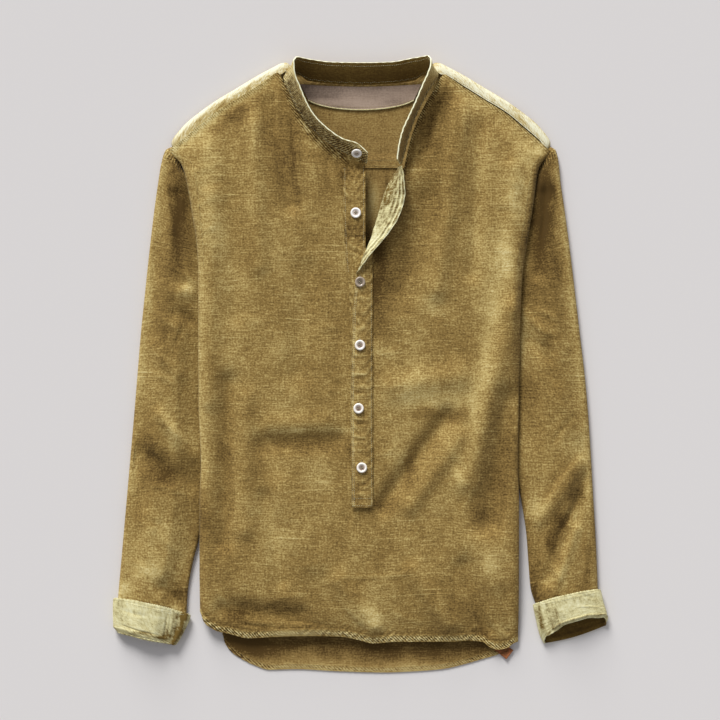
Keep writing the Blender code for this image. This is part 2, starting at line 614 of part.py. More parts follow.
def placket_under(material, collection):
    """Make the button stand, which carries the buttons and lies on the left front's edge."""
    rows = []
    for spot in range(STAND_ROWS + 1):
        y = mix(PLACKET_UNDER[0].y, PLACKET_UNDER[-1].y, spot / STAND_ROWS)
        left = read(PLACKET_UNDER, y, "left")
        right = read(PLACKET_UNDER, y, "right")
        edge = slit_at(y)[0]
        clear = mix(*STAND_CLEAR, ease((y - STAND_CLEAR_Y) / STAND_CLEAR_RAMP))
        base = max(ground(edge, y), ground(left, y)) + clear
        rows.append([(mix(left, right, part), y, base + LIFT - STAND_DROP * part)
                     for part in (0, 0.33, 0.67, 1)])
    return wall("placket_under", rows, False, LINEN, material, collection)


def over_section(y):
    """Give the top placket's points from its seam, over its turned fold, to its free edge."""
    seam_x, flat, turned, lean = [read(PLACKET_OVER, y, name)
                                  for name in ("seam_x", "flat", "folded", "lean")]
    total = flat + turned
    fullest = math.radians(lean)
    arc = max(fullest * TURN_RADIUS, 0.01)
    clear = FOOT_CLEAR * (1 - ease((y - PLACKET_OVER[0].y - 3.0) / FOOT_CLEAR_RAMP))
    x, z = seam_x, ground(seam_x, y) + LIFT + clear
    points = [(x, z)]
    for step in range(OVER_STEPS):
        gone = (step + 0.5) / OVER_STEPS * total
        angle = fullest * max(0.0, min(1.0, (gone - flat) / arc + 0.5)) if turned else 0.0
        x -= math.cos(angle) * total / OVER_STEPS
        z += math.sin(angle) * total / OVER_STEPS
        points.append((x, z))
    lift = LIFT * (1 - ease((y - LIFT_FADES_Y) / LIFT_FADES_RAMP))
    held = 1 - ease((y - LOOSE_Y) / LOOSE_RAMP)
    return [(px, y, pz + lift * ease((seam_x - px) / LIFT_SLOPE)
             + held * (ground(px, y) - ground(seam_x, y)))
            for px, pz in points[::OVER_STEPS // OVER_PARTS]]


def placket_over(material, collection):
    """Make the top placket, closed below and turned back at the neck."""
    low = [mix(PLACKET_OVER[0].y, CLOSED_Y, spot / CLOSED_ROWS) for spot in range(CLOSED_ROWS)]
    high = [mix(CLOSED_Y, PLACKET_OVER[-1].y, spot / TURNED_ROWS) for spot in range(TURNED_ROWS + 1)]
    return wall("placket_over", [over_section(y) for y in low + high], False, LINEN, material,
                collection)


# ---- sleeves and cuffs -----------------------------------------------------------------
RING_LOW = ((0, CORNER_RISE), (0.33, 0), (0.67, 0), (1, CORNER_RISE))      # (share across, rise)
RING_TOP = (1, 0.88, 0.76, 0.64, 0.52, 0.4, 0.28, 0.15, 0)                 # shares across, back again
OUTER_TURNS = (-45, 0, 45)
INNER_TURNS = (135, 180, 225)


def ring_crown(part, crest, outer_height, inner_height):
    """Give the height of a ring's upper side at a share across, from the inner side."""
    if part > 0.7:
        return mix(crest, outer_height, ease((part - 0.62) / 0.38))
    if part > 0.3:
        return crest
    return mix(inner_height, crest, ease(part / 0.45))


def ring_points(outer, inner, crest, outer_height, inner_height, low, folds):
    """Give a flattened ring: flat below, rounded at both sides, folded above."""
    across = Vector((outer[0] - inner[0], outer[1] - inner[1]))
    width = across.length
    outer_radius = min(outer_height / 2, width / 3)
    inner_radius = min(inner_height / 2, width / 3)

    def spot(distance, height):
        part = distance / width
        return (inner[0] + across.x * part, inner[1] + across.y * part, height)

    def turned(turn, middle, radius, top):
        angle = math.radians(turn)
        return spot(middle + radius * math.cos(angle), mix(low, top, 0.5 + 0.5 * math.sin(angle)))

    flat = (inner_radius, width - outer_radius)
    points = [spot(mix(*flat, part), low + rise) for part, rise in RING_LOW]
    points += [turned(turn, flat[1], outer_radius, outer_height) for turn in OUTER_TURNS]
    for part in RING_TOP:
        x, y, height = spot(mix(*flat, part), ring_crown(part, crest, outer_height, inner_height))
        soft = math.sin(math.pi * (0.06 + 0.88 * part)) ** 0.5
        points.append((x, y, max(low + LEAST_HEIGHT, height + folded(folds, x, y) * soft)))
    points += [turned(turn, flat[0], inner_radius, inner_height) for turn in INNER_TURNS]
    return points


def sleeve(name, rings, folds, material, collection):
    """Make a sleeve as a flattened tube, open at the armhole and at the cuff."""
    rows = []
    for spot in range(SLEEVE_ROWS + 1):
        at = mix(rings[0].station, rings[-1].station, spot / SLEEVE_ROWS)
        outer = (read(rings, at, "outer_x"), read(rings, at, "outer_y"))
        inner = (read(rings, at, "inner_x"), read(rings, at, "inner_y"))
        rows.append(ring_points(outer, inner, read(rings, at, "crest"),
                                min(SLEEVE_OUTER, read(rings, at, "crest")), SLEEVE_INNER, FLOOR, folds))
    return wall(name, rows, True, LINEN, material, collection)


def cuff(name, rings, material, collection):
    """Make a turned-up cuff, whose upper lip lies on the sleeve's end."""
    rows = []
    for spot in range(CUFF_ROWS + 1):
        share = spot / CUFF_ROWS
        outer = (read(rings, share, "outer_x"), read(rings, share, "outer_y"))
        inner = (read(rings, share, "inner_x"), read(rings, share, "inner_y"))
        lip = read(rings, share, "lip")
        mouth = read(rings, share, "mouth")
        ring = ring_points(outer, inner, CUFF_CREST, CUFF_SIDE, CUFF_INNER_SIDE, CUFF_WALL / 2, ())
        row = []
        for x, y, z in ring:
            high = ease((z - CUFF_WALL) / (CUFF_CREST - CUFF_WALL))
            row.append((x, y + (lip + mouth) * high, z))
        rows.append(row)
    return wall(name, rows, True, CUFF_WALL, material, collection)


# ---- buttons and tab -------------------------------------------------------------------
def button_seat(spot):
    """Give the height of the cloth's upper face under a button, and the cloth's slope along Y."""
    if spot.y > BAND_BUTTON_Y:
        return collar_seat(spot)
    layers = 1 if spot.y > OPEN_BUTTON_Y else 2
    heights = [ground(slit_at(y)[0] if layers == 1 else spot.x, y)
               for y in (spot.y - BUTTON_RADIUS, spot.y, spot.y + BUTTON_RADIUS)]
    return max(heights) + layers * LIFT + SEAT_CLEAR + LINEN / 2, 0.0


def collar_seat(spot):
    """Give the same for the button on the band's end, which lies on the band's slope."""
    nearest = min((step / 100 for step in range(BAND_SEAT_STEPS)),
                  key=lambda share: abs(read(COLLAR, share, "base_x") - spot.x))
    section = collar_section(nearest)
    low, high = section[0], section[-1]
    part = (spot.y - low.y) / (high.y - low.y)
    tilt = math.atan2(high.z - low.z, high.y - low.y)
    outside = (BAND_BOW + BAND_WALL / 2) / math.cos(tilt)
    return mix(low.z, high.z, part) + outside + BAND_SEAT_CLEAR, tilt


def button_body(name, material, collection):
    """Turn the rimmed button."""
    radius, height = BUTTON_RADIUS, BUTTON_HEIGHT
    dish = radius - RIM_WIDTH - RIM_SLOPE
    profile = ((0, height * DISH_HEIGHT), (dish, height * DISH_HEIGHT), (radius - RIM_WIDTH, height),
               (radius - EDGE_ROUND, height), (radius, height / 2), (radius - EDGE_ROUND, 0), (0, 0))
    mesh = bpy.data.meshes.new(name)
    build = bmesh.new()
    line = [build.verts.new((r * MM, 0, z * MM)) for r, z in profile]
    edges = [build.edges.new(pair) for pair in zip(line, line[1:])]
    bmesh.ops.spin(build, geom=line + edges, cent=(0, 0, 0), axis=(0, 0, 1), angle=2 * math.pi,
                   steps=BUTTON_SIDES, use_merge=True)
    bmesh.ops.remove_doubles(build, verts=build.verts, dist=0.00001)
    bmesh.ops.recalc_face_normals(build, faces=build.faces)
    build.to_mesh(mesh)
    build.free()
    mesh.materials.append(material)
    made = bpy.data.objects.new(name, mesh)
    collection.objects.link(made)
    return made


def hole_cutter(name, cutters):
    """Make the four pins that cut a button's holes."""
    mesh = bpy.data.meshes.new(name)
    build = bmesh.new()
    for sign_x in (-1, 1):
        for sign_y in (-1, 1):
            pin = bmesh.ops.create_cone(build, cap_ends=True, segments=HOLE_SIDES,
                                        radius1=HOLE_RADIUS * MM, radius2=HOLE_RADIUS * MM,
                                        depth=3 * BUTTON_HEIGHT * MM)
            shift = Vector((sign_x * HOLE_PLACE / 2, sign_y * HOLE_PLACE / 2, BUTTON_HEIGHT / 2)) * MM
            bmesh.ops.translate(build, verts=pin["verts"], vec=shift)
    build.to_mesh(mesh)
    build.free()
    made = bpy.data.objects.new(name, mesh)
    cutters.objects.link(made)
    made.hide_render = True
    made.display_type = "WIRE"
    return made


def button(name, spot, material, collection, cutters):
    """Make a button with four holes and lay it on its seat."""
    made = button_body(name, material, collection)
    cutter = hole_cutter(name + "_holes", cutters)
    seat, tilt = button_seat(spot)
    for thing in (made, cutter):
        thing.location = place((spot.x, spot.y, seat + BUTTON_CLEAR))
        thing.rotation_euler = (tilt, 0, 0)
    cut = made.modifiers.new("holes", "BOOLEAN")
    cut.object = cutter
    cut.operation = "DIFFERENCE"
    cut.solver = "EXACT"
    return made


def side_tab(material, collection):
    """Make the small tab at the right side seam, on the tail's corner."""
    first, second, third, fourth = TAB_CORNERS
    rows = []
    for part in (0.0, 0.5, 1.0):
        start = Vector((mix(first.x, second.x, part), mix(first.y, second.y, part), FLOOR + LIFT))
        end = Vector((mix(fourth.x, third.x, part), mix(fourth.y, third.y, part), FLOOR + LIFT))
        rows.append([start.lerp(end, share) for share in (0.0, 0.5, 1.0)])
    return wall("side_tab", rows, False, LINEN, material, collection)


def main():
    """Make every piece of the shirt."""
    clear_scene()
    shirt = new_collection("mandarin collar shirt")
    cutters = new_collection("cutters")
    cutters.hide_render = True
    linen = finish("olive linen", (0.28, 0.18, 0.06), 0.9)
    pale = finish("pale linen reverse", (0.62, 0.58, 0.34), 0.9)
    grey = finish("mauve grey facing", (0.28, 0.21, 0.16), 0.9)
    pearl = finish("pearl button", (0.55, 0.50, 0.44), 0.35)
    rust = finish("rust tab", (0.55, 0.18, 0.04), 0.85)
    front_panel(linen, shirt)
    back_panel(linen, shirt)
    back_yoke(linen, shirt)
    collar_band(linen, shirt)
    neck_facing(grey, shirt)
    placket_under(linen, shirt)
    placket_over(linen, shirt)
    sleeve("sleeve_left", LEFT_SLEEVE, LEFT_SLEEVE_FOLDS, linen, shirt)
    sleeve("sleeve_right", RIGHT_SLEEVE, RIGHT_SLEEVE_FOLDS, linen, shirt)
    cuff("cuff_left", LEFT_CUFF, pale, shirt)
    cuff("cuff_right", RIGHT_CUFF, pale, shirt)
    for number, spot in enumerate(BUTTONS, 1):
        button(f"button_{number}", spot, pearl, shirt, cutters)
    side_tab(rust, shirt)


main()
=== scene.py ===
"""The looks of a half-placket linen shirt with a band collar, laid flat with its front up.

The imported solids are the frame. Each cloth piece is made again here as a fine shell on the same
form, from the same tables in millimetres, with its smaller folds, puckers and stitching.
"""
import logging
import math
from dataclasses import dataclass, field
from enum import Enum
from typing import Any, Callable, NamedTuple, Sequence

import bmesh
import bpy
import numpy as np
from mathutils import Matrix, Vector
from mathutils.bvhtree import BVHTree


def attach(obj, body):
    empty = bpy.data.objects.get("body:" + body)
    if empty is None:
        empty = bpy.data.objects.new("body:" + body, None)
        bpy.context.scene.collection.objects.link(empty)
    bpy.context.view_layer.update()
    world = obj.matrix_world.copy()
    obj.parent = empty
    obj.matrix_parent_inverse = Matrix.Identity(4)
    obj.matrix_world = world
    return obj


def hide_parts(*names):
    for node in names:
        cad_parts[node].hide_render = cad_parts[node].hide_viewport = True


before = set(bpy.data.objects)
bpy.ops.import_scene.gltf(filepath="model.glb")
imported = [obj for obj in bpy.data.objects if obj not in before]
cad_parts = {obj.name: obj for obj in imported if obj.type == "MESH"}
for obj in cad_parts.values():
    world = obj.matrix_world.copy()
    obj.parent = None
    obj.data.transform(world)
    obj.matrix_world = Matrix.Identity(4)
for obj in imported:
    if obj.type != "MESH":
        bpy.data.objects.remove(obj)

logging.basicConfig(level=logging.INFO, format="%(message)s")
LOG = logging.getLogger("shirt")
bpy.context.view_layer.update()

MM = 0.001
ORIGIN = np.array((-0.99, -1.66, 0.0))   # of the tables, in the frame, in millimetres
BODY = "root"

# ---- cloth and seams, as in the solids ---------------------------------------------------
LINEN = 1.2                       # wall that the solids give the panels
BAND_WALL = 1.6
CUFF_WALL = 2.0
SEAM = 0.9
LIFT = 1.85                       # middle of one wall to the middle of the wall that lies on it
FLOOR = LINEN / 2
CLOTH = 0.9                       # wall of the shells made here
FOOT_Y = -165.0                   # line of the placket's foot
FOOT_X = 1.5
BACK_TOP_Y = 248.5
YOKE_EDGE_Y = 238.0
YOKE_STEP_Y = (249.5, 254.0)
YOKE_LOW_HALF = 201.0
ROLL_RADIUS = 11.0                # of the body's rolled sides
BACK_MARGIN = 12.0                # the back ends this far inside the front's sides
EDGE_RISE = 11.6                  # height of the front's upper edge
EDGE_REACH = 26.0
PLACKET_HOLD = 20.0               # how far to its sides the placket holds the front flat
PLACKET_KEEP = 0.25               # the share of the folds that is left there
ROLL_STARTS = (70.0, 90.0)        # between these the yoke begins to fold over
FACING_LOW_Y = 308.5
FACING_HALF = 64.0
TURN_RADIUS = 2.6
STAND_DROP = 0.6
BAND_START_Y = 241.0              # above this line the band begins
OPEN_FROM_Y = 110.0               # above this line the placket stands open
SLEEVE_OUTER = 10.0
SLEEVE_INNER = 6.4
CUFF_CREST = 19.0
CUFF_SIDE = 13.0
BUTTON_RADIUS = 6.3
BUTTON_HEIGHT = 2.3
HOLE_RADIUS = 0.8
HOLE_PLACE = 1.7
SMOOTH_TO = 55.0                  # degrees, the sharpest bend that is shaded smooth
STITCH_SEED = 7


class Side(NamedTuple):
    """The body's two side edges, and how high they roll."""
    y: float
    left: float
    right: float
    rise: float


class Edge(NamedTuple):
    """A point of a hem."""
    x: float
    y: float


class Top(NamedTuple):
    """A point of a front's upper edge."""
    share: float
    x: float
    y: float


class Slit(NamedTuple):
    """Both edges of the placket's slit, or of a strip."""
    y: float
    left: float
    right: float


class Rise(NamedTuple):
    """The front's height along the body."""
    y: float
    height: float


class Fold(NamedTuple):
    """A large fold, as in the solids."""
    x0: float
    y0: float
    x1: float
    y1: float
    width: float
    height: float


class Crease(NamedTuple):
    """A small ridge or trough that thins out at both ends; bow is how far it curves."""
    x0: float
    y0: float
    x1: float
    y1: float
    width: float
    height: float
    bow: float


class Patch(NamedTuple):
    """A place painted lighter above 0 or darker below: painted light on ridges and rolls, painted shade in
    hollows and in shadows.
    """
    x: float
    y: float
    wide: float
    high: float
    tone: float


class Yoke(NamedTuple):
    """Where the yoke folds over and where it ends on the front."""
    x: float
    fold_y: float
    end_y: float
    end_z: float


class Band(NamedTuple):
    """A section of the collar band."""
    share: float
    base_x: float
    base_y: float
    base_z: float
    top_x: float
    top_y: float
    rise: float


class Placket(NamedTuple):
    """A section of the top placket, with its flat and its turned-back part."""
    y: float
    seam_x: float
    flat: float
    folded: float
    lean: float


class Ring(NamedTuple):
    """A section of a sleeve."""
    station: float
    outer_x: float
    outer_y: float
    inner_x: float
    inner_y: float
    crest: float


class Cuff(NamedTuple):
    """A section of a cuff."""
    share: float
    outer_x: float
    outer_y: float
    inner_x: float
    inner_y: float
    lip: float
    mouth: float


class Crown(NamedTuple):
    """How far a sleeve's top has risen, from its inner to its outer side."""
    part: float
    inner: float
    outer: float


def table(kind: Callable[..., Any], rows: Sequence[tuple[float, ...]]) -> tuple[Any, ...]:
    """Make every row one of its kind."""
    return tuple(kind(*row) for row in rows)


ROLL_UNDER = ((22, 0), (18, 0.05), (14, 0.16), (10, 0.29), (7, 0.42), (4.4, 0.58), (2.6, 0.72), (1, 0.88))
SIDES = table(Side, (
    (-340, -194.8, 190.3, 4), (-300, -194.8, 190.8, 8), (-250, -195.2, 191, 10.5), (-165, -195, 191, 11.5),
    (-121, -193.4, 189.6, 11.5), (-44, -196.2, 190.8, 12), (44, -196.5, 192.2, 12), (107, -196.5, 195.2, 12),
    (145, -198.4, 200.6, 12), (175, -202.9, 205.4, 12), (200, -207, 209, 11.5), (233, -213.8, 213.8, 10.5),
    (243, -218, 218, 10), (259, -231, 229, 8.5),
))
FRONT_HEM = table(Edge, (
    (-195, -300), (-190, -312), (-183.7, -318), (-172, -324), (-160, -326.5), (-136, -332), (-101, -330.2),
    (-59, -329.3), (-24, -330.2), (0, -335), (15, -338.5), (43, -336.4), (112, -336.4), (130, -335),
    (147, -336.6), (157, -343.4), (166, -346.3), (179, -343.4), (184, -339), (191, -336.6),
))
TAIL_HEM = table(Edge, (
    (-168, -329), (-165.5, -338), (-158, -349), (-145, -358), (-129, -366), (-111, -371.4), (-80, -370.6),
    (-24, -373.4), (28, -374.7), (63, -373.4), (98, -370.6), (126, -364.5), (147, -358.4), (167, -352.4),
    (172, -349),
))
LEFT_TOP = table(Top, (
    (0, -231, 259), (0.1, -213, 273), (0.2, -194, 289), (0.32, -170, 307.6), (0.44, -147, 321.8),
    (0.55, -123, 336.6), (0.66, -101, 349), (0.72, -90, 331), (0.78, -78, 305), (0.85, -62, 284),
    (0.92, -38, 263.7), (1, -17, 252.5),
))
RIGHT_TOP = table(Top, (
    (0, 51, 233), (0.07, 54.5, 249), (0.14, 60, 272), (0.2, 67, 293), (0.26, 77, 314), (0.32, 89, 334),
    (0.38, 101, 349), (0.47, 125, 335.5), (0.58, 150, 320), (0.69, 176, 304), (0.8, 196, 287.4),
    (0.9, 213, 273), (1, 229, 259),
))
SLIT = table(Slit, (
    (-165, 1.5, 1.5), (-150, -8, 10), (95, -10, 10), (113, -11, 10), (128, -12, 10.5), (157, -14, 14.5),
    (176, -15, 19), (190, -16, 24), (213, -17, 33), (233, -18, 50),
))
BODY_RISE = table(Rise, (
    (-346, 7), (-325, 11), (-295, 16), (-240, 18.5), (-100, 19.5), (80, 20.5), (220, 20.5), (300, 18),
))
FRONT_FOLDS = table(Fold, (
    (-113, 318, -84, 193, 11, -7), (-130, 290, -122, 120, 10, 4), (-160, 285, -152, 60, 12, -3),
    (-181, 205, -183, -44, 11, 3.5), (-160, -22, -166, -214, 12, -7.5), (-138, -40, -140, -200, 11, 3),
    (-118, -96, -26, -92, 12, -5), (-110, -74, -45, -70, 11, 3), (-66, 110, -75, -10, 17, -4),
    (-97, -150, -60, -240, 16, 4), (-118, -160, -96, -262, 9, -4), (104, 325, 62, 246, 12, -7),
    (121, 318, 92, 90, 12, 6), (144, 290, 134, 110, 10, -4), (80, 199, 50, 92, 18, -6),
    (183, 235, 184, 66, 12, 4.5), (184, 66, 130, -141, 15, 6.5), (176, -44, 155, -190, 16, -8),
    (104, -64, 24, -172, 11, -8), (41, -28, 116, -15, 16, 5), (120, -88, 60, -172, 10, 4),
    (150, -215, 162, -262, 16, 4.5), (-165, -296, -74, -303, 11, -5.5), (-25, -262, 14, -318, 11, 5),
    (62, -250, 105, -315, 11, 5), (125, -245, 150, -320, 12, -6),
))
FRONT_CREASES = table(Crease, (
    # gathers under the left side of the collar
    (-101, 336, -98, 262, 2.6, 1.5, 2), (-88, 300, -84, 236, 3.4, -1.5, -3), (-76, 280, -70, 205, 3, 1.2, 3),
    (-62, 268, -52, 206, 2.8, 1.2, 2), (-46, 256, -42, 200, 2.6, -1.1, -2), (-34, 250, -30, 205, 2.2, 1, 1),
    (-118, 318, -112, 250, 3.2, -1.2, 2), (-134, 312, -131, 240, 3, 1, -3),
    # gathers at the right side
    (108, 338, 90, 268, 2.8, 1.6, 3), (118, 330, 112, 250, 3.2, -1.3, -2), (86, 312, 76, 250, 2.8, -1.4, -2),
    (130, 322, 124, 262, 2.6, 1, 2), (72, 284, 66, 226, 2.6, 1.1, 2), (62, 262, 58, 214, 2.4, -1, 1),
    # pulls across the chest and from the armholes
    (-206, 232, -168, 246, 3, 1.1, 2), (-205, 214, -160, 224, 3.2, -1, 3),
    (-202, 190, -162, 204, 3, 0.9, -2), (-198, 158, -168, 176, 3.4, 0.9, 3), (204, 214, 168, 226, 3, 1, -2),
    (200, 176, 160, 186, 3.4, -0.9, 3), (196, 128, 158, 140, 3.6, 0.9, 2), (-150, 60, -108, 52, 4.2, 0.8, 3),
    (-60, 40, -16, 46, 3.6, 0.8, -2), (24, 62, 70, 54, 4, 0.8, 3),
    # beside the placket
    (20, 12, 52, 20, 3, 0.9, 2), (20, -36, 60, -26, 3.2, -0.9, 3), (20, -66, 48, -72, 3, 0.9, -2),
    (18, -110, 46, -98, 3.2, 0.9, 2), (-12, -30, -44, -36, 3.2, 0.8, 2), (-12, -92, -50, -84, 3.4, -0.8, 2),
    (-12, -140, -40, -150, 3, 0.9, -2), (0, -172, -14, -206, 2.8, 1, 2), (14, -172, 30, -204, 2.8, 0.9, -2),
    # the lower body and over the hem
    (-32, -257, 62, -253, 2.2, 1.3, 2), (-118, -290, -68, -278, 2.4, 1.2, -2),
    (-26, -282, 24, -326, 4.2, 1.8, 4), (-8, -298, 30, -330, 3.2, -1, 3), (86, -262, 104, -318, 4, 1.6, -3),
    (112, -238, 116, -300, 3, -1, 2), (150, -292, 172, -326, 3.6, 1.6, 4),
    (136, -300, 148, -328, 3.4, -1.5, -2), (168, -318, 182, -326, 3, -1.2, 1),
    (-150, -312, -104, -318, 2.8, -1.4, 2), (-88, -312, -40, -316, 2.8, -1, -2),
    (40, -300, 76, -312, 3.2, 0.9, 2), (-180, -262, -150, -300, 3.6, 1.2, 3),
    (-172, -70, -150, -116, 3.4, 1, 2), (-152, -150, -170, -212, 3, -1.1, -3),
    (-132, -64, -98, -112, 3.6, 0.9, 4), (140, -60, 168, -110, 3.6, 1, -3),
    (150, -130, 120, -186, 3.6, 1, 3), (176, -150, 168, -220, 3, -1, 2), (96, -104, 132, -132, 3.2, -0.9, 2),
))
# painted light and painted shade on the front: lighter ridges and rolls, darker hollows, and shadow beside
# the flap and under the collar
FRONT_PATCHES = table(Patch, (
    (90, 72, 12, 14, 0.55), (-95, 255, 16, 62, -0.5), (80, 286, 20, 40, -0.6), (-162, -122, 10, 82, -0.42),
    (-64, -92, 50, 12, -0.35), (78, -34, 40, 28, 0.34), (159, -147, 20, 48, -0.34),
    (-120, -300, 42, 18, -0.42), (122, -296, 36, 26, -0.36), (8, -304, 16, 17, 0.5), (94, -292, 8, 18, 0.3),
    (156, -238, 14, 20, 0.36), (22, 92, 20, 58, -0.6), (-150, 110, 26, 120, 0.1), (-40, 60, 30, 90, -0.1),
    (172, -318, 12, 12, 0.45), (150, -330, 12, 7, -0.5), (-172, -292, 16, 22, 0.3), (150, 150, 18, 90, 0.22),
    (-128, 230, 10, 60, 0.2), (56, 150, 20, 60, -0.22), (-30, 215, 22, 24, -0.45),
    # painted highlights on the ridges and painted shade in the hollows beside them, from the chest down
    (188, 193, 10, 32, 0.45), (177, 124, 11, 32, 0.5), (160, 63, 11, 29, 0.5), (147, 7, 10, 32, 0.45),
    (136, -68, 10, 36, 0.55), (118, -139, 11, 24, 0.4), (217, 258, 11, 12, 0.75), (204, 224, 7, 27, 0.55),
    (21, 15, 21, 12, 0.55), (86, -41, 32, 12, 0.35), (-70, -78, 49, 5, 0.55), (-50, -134, 19, 15, 0.3),
    (47, -114, 11, 15, 0.45), (11, -301, 12, 24, 0.35), (-92, -207, 17, 17, 0.3), (-28, 211, 10, 24, 0.45),
    (-19, 132, 10, 29, 0.35), (-165, 102, 10, 41, 0.3), (-159, 5, 15, 29, 0.25), (-186, -220, 11, 19, 0.25),
    (-19, -83, 11, 6, 0.4), (-146, 304, 12, 11, -0.75), (-179, 287, 17, 10, -0.4), (-77, 236, 7, 44, -0.5),
    (-132, 124, 11, 32, -0.3), (-19, 228, 9, 17, -0.6), (-52, 250, 24, 12, -0.5), (50, 216, 7, 27, -0.5),
    (24, 136, 10, 27, -0.75), (10, 92, 10, 24, -0.6), (1, 53, 9, 17, -0.4), (102, 323, 12, 17, -0.75),
    (149, 292, 15, 15, -0.4), (84, 192, 15, 24, -0.3), (77, -61, 29, 7, -0.55), (114, -61, 11, 11, -0.5),
    (1, -107, 19, 10, -0.4), (60, -126, 10, 24, -0.55), (29, -171, 22, 11, -0.5),
    (-186, -192, 10, 32, -0.55), (-169, -220, 12, 19, -0.3), (-89, -301, 27, 12, -0.35),
    (-152, -306, 17, 10, -0.6), (91, -275, 12, 19, -0.5), (141, -187, 15, 19, -0.5),
    (170, -111, 11, 49, -0.35), (-74, -101, 51, 9, -0.35), (-177, -323, 22, 10, -0.5),
    (183, -92, 6, 73, -0.25), (-135, -58, 12, 10, -0.25),
))
# painted light inside the neck, where the stand and the yoke cast shade, and painted shade and light on the
# tail below the front's hem
BACK_PATCHES = table(Patch, (
    (18, 199, 17, 49, 0.8), (38, 233, 15, 12, 0.9), (-165, -335, 32, 24, -0.9), (-135, -350, 36, 10, -0.7),
    (-70, -340, 80, 5, -0.45), (-86, -353, 26, 7, 0.5), (10, 205, 9, 42, 0.6), (142, -354, 22, 10, -0.9),
    (102, -360, 32, 7, -0.4), (-26, -360, 36, 6, 0.35), (53, -364, 29, 6, 0.3), (35, -347, 24, 6, -0.3),
))
YOKE = table(Yoke, (
    (0, 339, 341.5, 0.6), (60, 340.5, 344, 0.6), (70, 345.5, 348, 1.2), (77, 353, 353, 3.4),
    (84, 361, 357, 6.6), (91, 364.5, 354.6, 10), (97, 363.5, 350.6, 11.4), (101, 361.5, 350, 11.6),
    (125, 348.8, 336.2, 11.6), (150, 333.8, 320.6, 11.6), (176, 318.2, 304.8, 11.6), (196, 304, 288.4, 11.4),
    (213, 290, 274, 10.8), (225, 276, 263, 9.6), (232, 266, 256, 8.8), (237, 259.5, 250, 7.6),
))
COLLAR = table(Band, (
    (0, 7, 243, 13.6, 8, 255, 13), (0.03, -5, 249.5, 13.6, -5.5, 266.5, 15),
    (0.08, -19, 255.5, 13.4, -21, 271, 18), (0.14, -36, 265.3, 13.2, -39, 282.5, 22),
    (0.21, -60, 286, 13.2, -54.5, 297, 25), (0.27, -75.6, 306.5, 13.2, -64.5, 312.5, 26),
    (0.32, -87, 330, 13.2, -73.5, 334, 26), (0.36, -92.4, 344.5, 13.4, -79.5, 350, 26),
    (0.385, -87.5, 353.6, 12, -80.6, 364, 25.5), (0.41, -76, 351, 7.8, -76, 369.6, 24),
    (0.44, -63, 343.5, 3.6, -64, 368, 20), (0.5, -34, 340.4, 2.7, -34.8, 364.6, 16.5),
    (0.56, 0, 339, 2.7, 0, 364, 16), (0.62, 33, 340.4, 2.7, 33.5, 364.6, 16.5),
    (0.68, 63, 344, 3.6, 66, 369.5, 20), (0.71, 77, 351.5, 7.8, 80, 371, 24.5),
    (0.735, 89, 355.4, 12.2, 83.8, 363.5, 27), (0.76, 92.4, 348.5, 13.4, 81, 351, 28),
    (0.81, 83.4, 334, 13.2, 74.5, 337, 28.5), (0.86, 72.5, 314.5, 13.2, 66, 316.5, 28.5),
    (0.9, 63.4, 294, 13.2, 58, 299, 28.5), (0.94, 56.6, 272.6, 13.2, 49, 278, 28),
    (0.97, 51, 251, 13.4, 45, 260, 27.5), (1, 47.5, 241.5, 13.8, 43.5, 246, 26.5),
))
PLACKET_OVER = table(Placket, (
    (-173, 14.6, 26, 0, 0), (-60, 14, 26.5, 0, 0), (60, 14, 24, 0, 0), (107, 14, 19.6, 0, 0),
    (114, 14.1, 17, 4, 110), (122, 14.3, 14.2, 7.5, 130), (130, 14.6, 12, 10.5, 140),
    (143, 15.6, 7.6, 16, 150), (158, 17.6, 4.2, 23, 155), (176, 21.5, 3, 28.5, 162),
    (190, 25.5, 3, 29.5, 164), (203, 29.8, 3, 29.5, 156), (215, 35, 3, 28.5, 138), (228, 42.5, 3, 27.5, 116),
    (238, 47.6, 2.4, 26.5, 100),
))
PLACKET_UNDER = table(Slit, (
    (-158, -11, 8), (90, -14, 8), (120, -18, 6), (170, -20.5, 5.2), (239, -21.5, 5.2),
))
LEFT_SLEEVE = table(Ring, (
    (-8, -229, 263, -217, 250, 8), (0, -236.2, 259.5, -219, 243, 9.5), (20, -241.6, 244, -207, 218, 11.5),
    (45, -245.6, 220, -200, 193, 13), (75, -249.8, 190, -196, 168, 13), (110, -254, 156, -192, 143, 13),
    (140, -257.4, 126, -191, 118, 14), (185, -262, 82, -193.6, 80, 15), (230, -266.5, 38, -193.5, 38, 16),
    (275, -270.5, -10, -193.3, -8, 16), (320, -274.6, -60, -192.6, -58, 16),
    (365, -279.2, -112, -190.6, -108, 16), (410, -283.4, -160, -191.8, -156, 16),
    (450, -287.4, -205, -195.4, -203, 15.5), (485, -290.8, -244, -205, -243, 15.5),
    (510, -293, -268, -210.5, -276, 15), (528, -294.6, -287.9, -212.2, -305.2, 14.5),
))
RIGHT_SLEEVE = table(Ring, (
    (-8, 229, 263, 217, 250, 8), (0, 235.6, 259.5, 218, 243, 9.5), (20, 239.4, 244, 207, 218, 11.5),
    (45, 241.8, 220, 201, 194, 13), (75, 246.4, 188, 197, 168, 13), (110, 251, 154, 193.5, 141, 13),
    (140, 254.8, 124, 190.5, 115, 14), (185, 260, 80, 190.4, 78, 15), (230, 265.4, 34, 188.8, 34, 16),
    (275, 271, -14, 187.6, -12, 16), (320, 275.4, -64, 187.2, -62, 16), (365, 278.6, -114, 186.6, -110, 16),
    (410, 281.2, -160, 194.6, -164, 16), (450, 284, -206, 201.2, -208, 15.5),
    (485, 285.6, -240, 203.8, -244, 15.5), (508, 286.4, -260, 206.2, -272, 15),
    (524, 286.8, -275.4, 212.6, -291.2, 14.5),
))
CROWN = table(Crown, (
    (0, 0, 0), (0.15, 0.26, 0), (0.28, 0.68, 0), (0.4, 1, 0), (0.64, 1, 0), (0.76, 1, 0.31), (0.88, 1, 0.76),
    (1, 1, 1),
))
